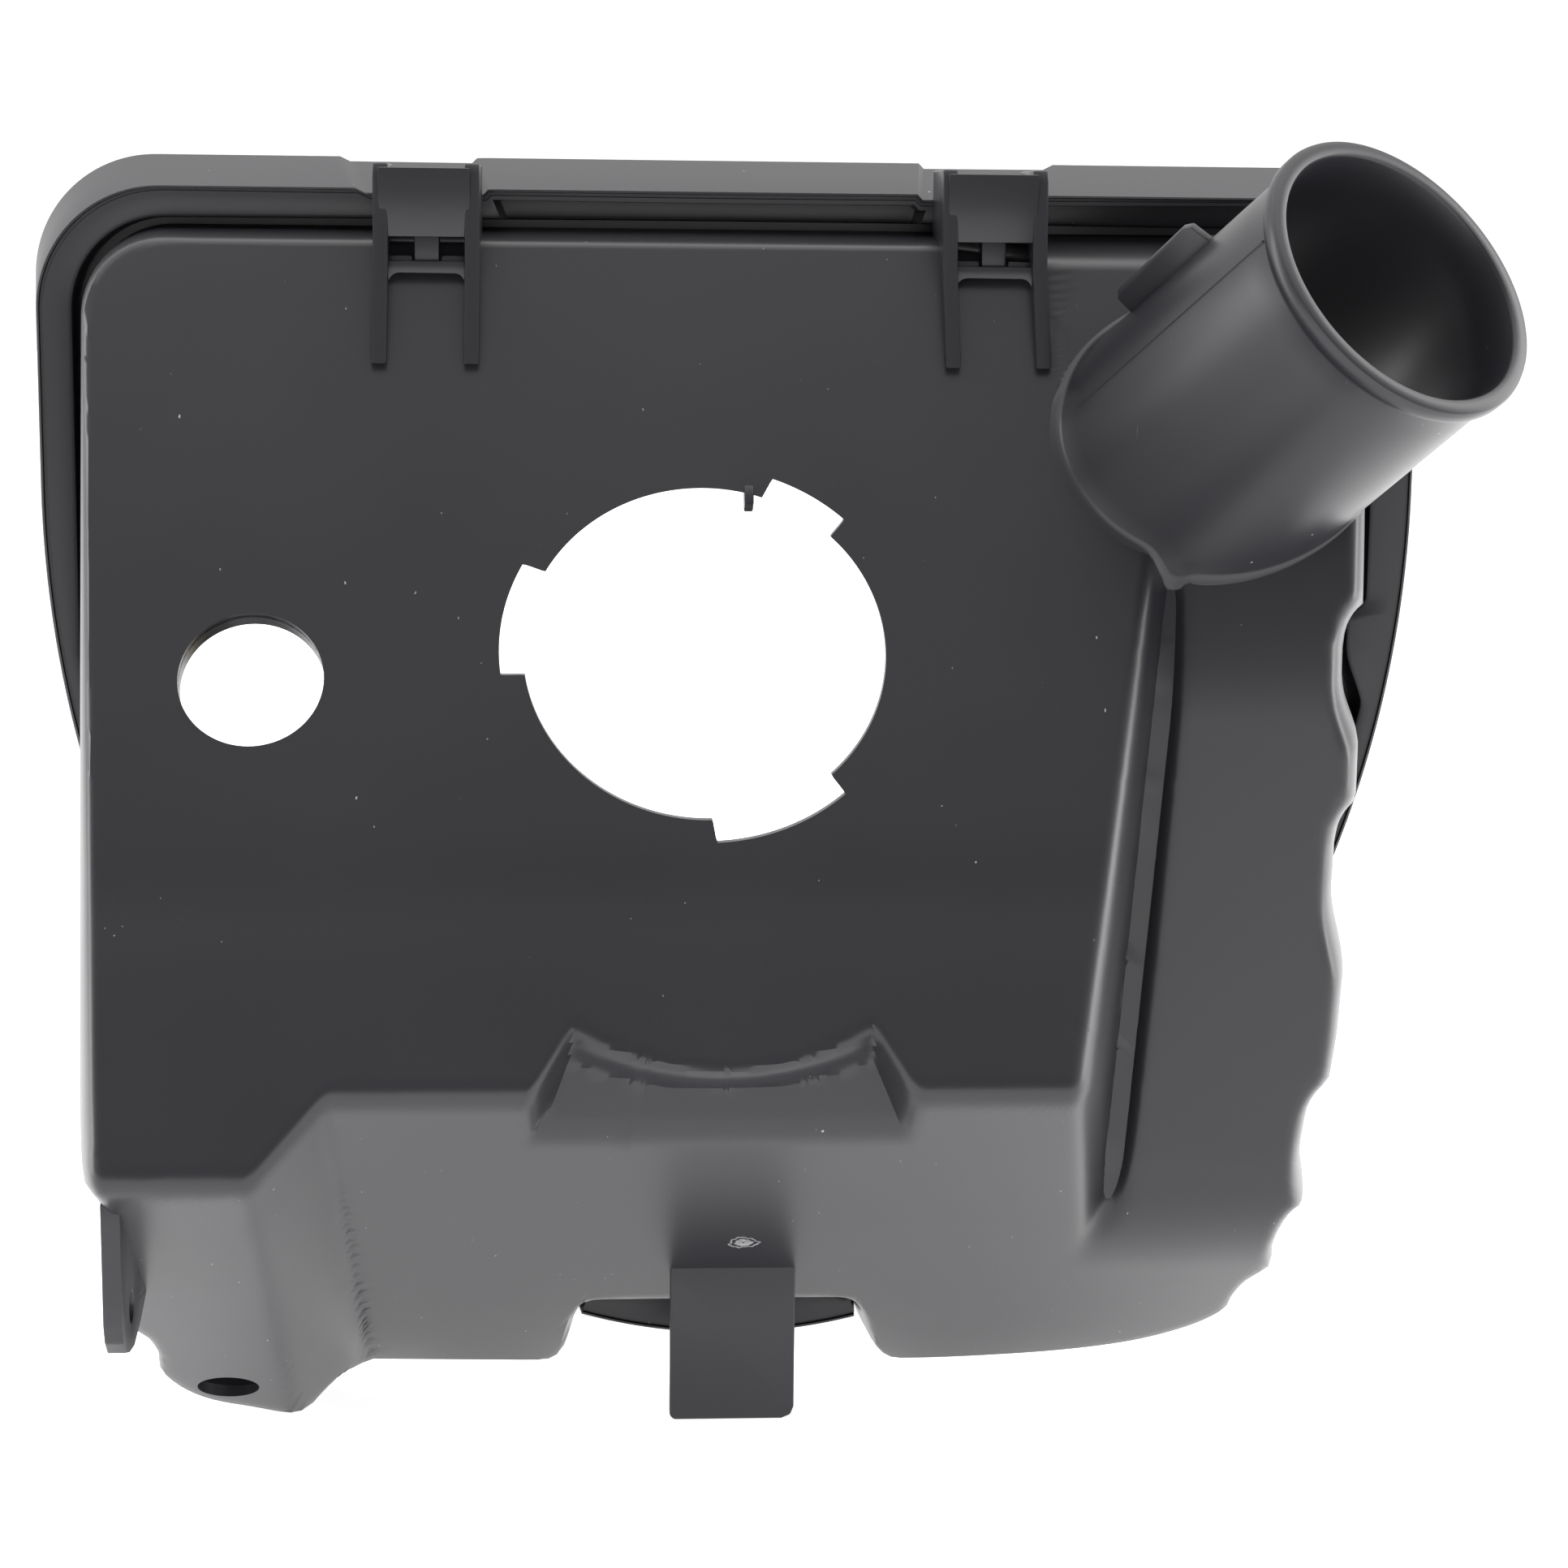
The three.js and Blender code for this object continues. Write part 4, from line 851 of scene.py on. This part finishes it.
# the parting ridge runs down the tube beside the fin
turn = np.radians(d["ridgeAngle"])
ridgeOut = finOut * np.cos(turn) + finSide * np.sin(turn)
ridgeSide = np.cross(axis, ridgeOut)
ridgeAlong = np.linspace(d["ridgeFrom"], d["ridgeTo"], d["ridgeSteps"])
ridgeLine = mouth - axis * ridgeAlong[:, None] + ridgeOut * tubeRadius(ridgeAlong)[:, None]
ridgeRows = [ridgeLine + ridgeOut * out + ridgeSide * across
             for out, across in ((-0.5, -0.6), (0.35, -0.15), (0.35, 0.15), (-0.5, 0.6))]
ridgeFaces = gridFaces(len(ridgeAlong), 4).tolist()
ridgeFaces += [[3, 2, 1, 0], [4 * (len(ridgeAlong) - 1) + k for k in range(4)]]
addPiece("partingRidge", np.stack(ridgeRows, 1).reshape(-1, 3), ridgeFaces, [], sharp=50)
print("small details made")


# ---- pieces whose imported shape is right: merged copies with softened edges ----
softened = (
    ("cover_shell", "cover", polypropylene, 0.5), ("cover_seal", "cover", rubber, 0.9),
    ("filter_frame", "cover", polyurethane, 1.6), ("filter_pleats", "cover", filterPaper, 0.0),
    ("filter_screen", "cover", zincSteel, 0.0), ("latch_left", "latch_left", acetal, 0.4),
    ("latch_right", "latch_right", acetal, 0.4), ("hinge_bracket_left", "housing", polypropylene, 0.3),
    ("hinge_bracket_right", "housing", polypropylene, 0.3), ("hinge_pin_left", "housing", zincSteel, 0.4),
    ("hinge_pin_right", "housing", zincSteel, 0.4), ("latch_pin_left", "cover", zincSteel, 0.3),
    ("latch_pin_right", "cover", zincSteel, 0.3), ("filter_clip_1", "cover", zincSteel, 0.25),
    ("filter_clip_2", "cover", zincSteel, 0.25), ("filter_clip_3", "cover", zincSteel, 0.25),
    ("filter_clip_4", "cover", zincSteel, 0.25))
for node, bodyName, material, rounded in softened:
    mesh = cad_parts[node].data.copy()
    mesh.name = node + "Soft"
    reworked(mesh, merge=2e-6, flatten=1.0, turnOut=False)
    finishPiece(node.replace("_", "-"), mesh, bodyName, [node], material, rounded=rounded)
print("cover, filter, hinge and latch pieces made")

# ---- floor and light ----
floorMesh = bpy.data.meshes.new("floor")
size = 6.0  # metres each way from the middle
floorMesh.from_pydata([(-size, -size, 0), (size, -size, 0), (size, size, 0), (-size, size, 0)], [], [(0, 1, 2, 3)])
floor = bpy.data.objects.new("floor", floorMesh)
bpy.context.scene.collection.objects.link(floor)
# a light table: white paper that glows a little
paper = bpy.data.materials.new("whitePaper")
paper.use_nodes = True
paperValues = {
    "Base Color": (0.92, 0.92, 0.92, 1), "Roughness": 0.9, "Emission Color": (1, 1, 1, 1), "Emission Strength": 0.9}
for key, value in paperValues.items():
    paper.node_tree.nodes["Principled BSDF"].inputs[key].default_value = value
floorMesh.materials.append(paper)

world = bpy.data.worlds.new("softWhite")
bpy.context.scene.world = world
world.use_nodes = True
# white all round, dimmer on the camera's side above, as a studio with a white sweep behind the object
sky = world.node_tree
place = addNode(sky, "ShaderNodeTexCoord").outputs["Generated"]
direction = addNode(sky, "ShaderNodeSeparateXYZ", {}, {"Vector": place})
behind = addNode(sky, "ShaderNodeMapRange", {"From Min": -0.75, "From Max": 0.15, "To Min": 0.44, "To Max": 1.1},
                 {"Value": direction.outputs["Y"]})
sky.links.new(behind.outputs["Result"], sky.nodes["Background"].inputs["Strength"])
sky.nodes["Background"].inputs["Color"].default_value = (1, 1, 1, 1)
bpy.context.scene.view_settings.view_transform = "Standard"


def addLight(name, place, target, width, power):
    # a soft rectangular light at a place in metres, turned to its target
    data = bpy.data.lights.new(name, "AREA")
    data.shape = "RECTANGLE"
    data.size, data.size_y = width
    data.energy = power
    light = bpy.data.objects.new(name, data)
    bpy.context.scene.collection.objects.link(light)
    light.location = place
    light.rotation_euler = (Vector(target) - Vector(place)).to_track_quat("-Z", "Y").to_euler()


addLight("topLight", (0.0, 0.1, 1.6), (0, 0.1, 0.0), (2.4, 1.6), 14)
addLight("leftLight", (-1.3, 0.1, 0.5), (0, 0, 0.15), (0.5, 1.3), 10)
addLight("rightLight", (1.3, 0.1, 0.5), (0, 0, 0.15), (0.5, 1.3), 10)
print("floor and light made")
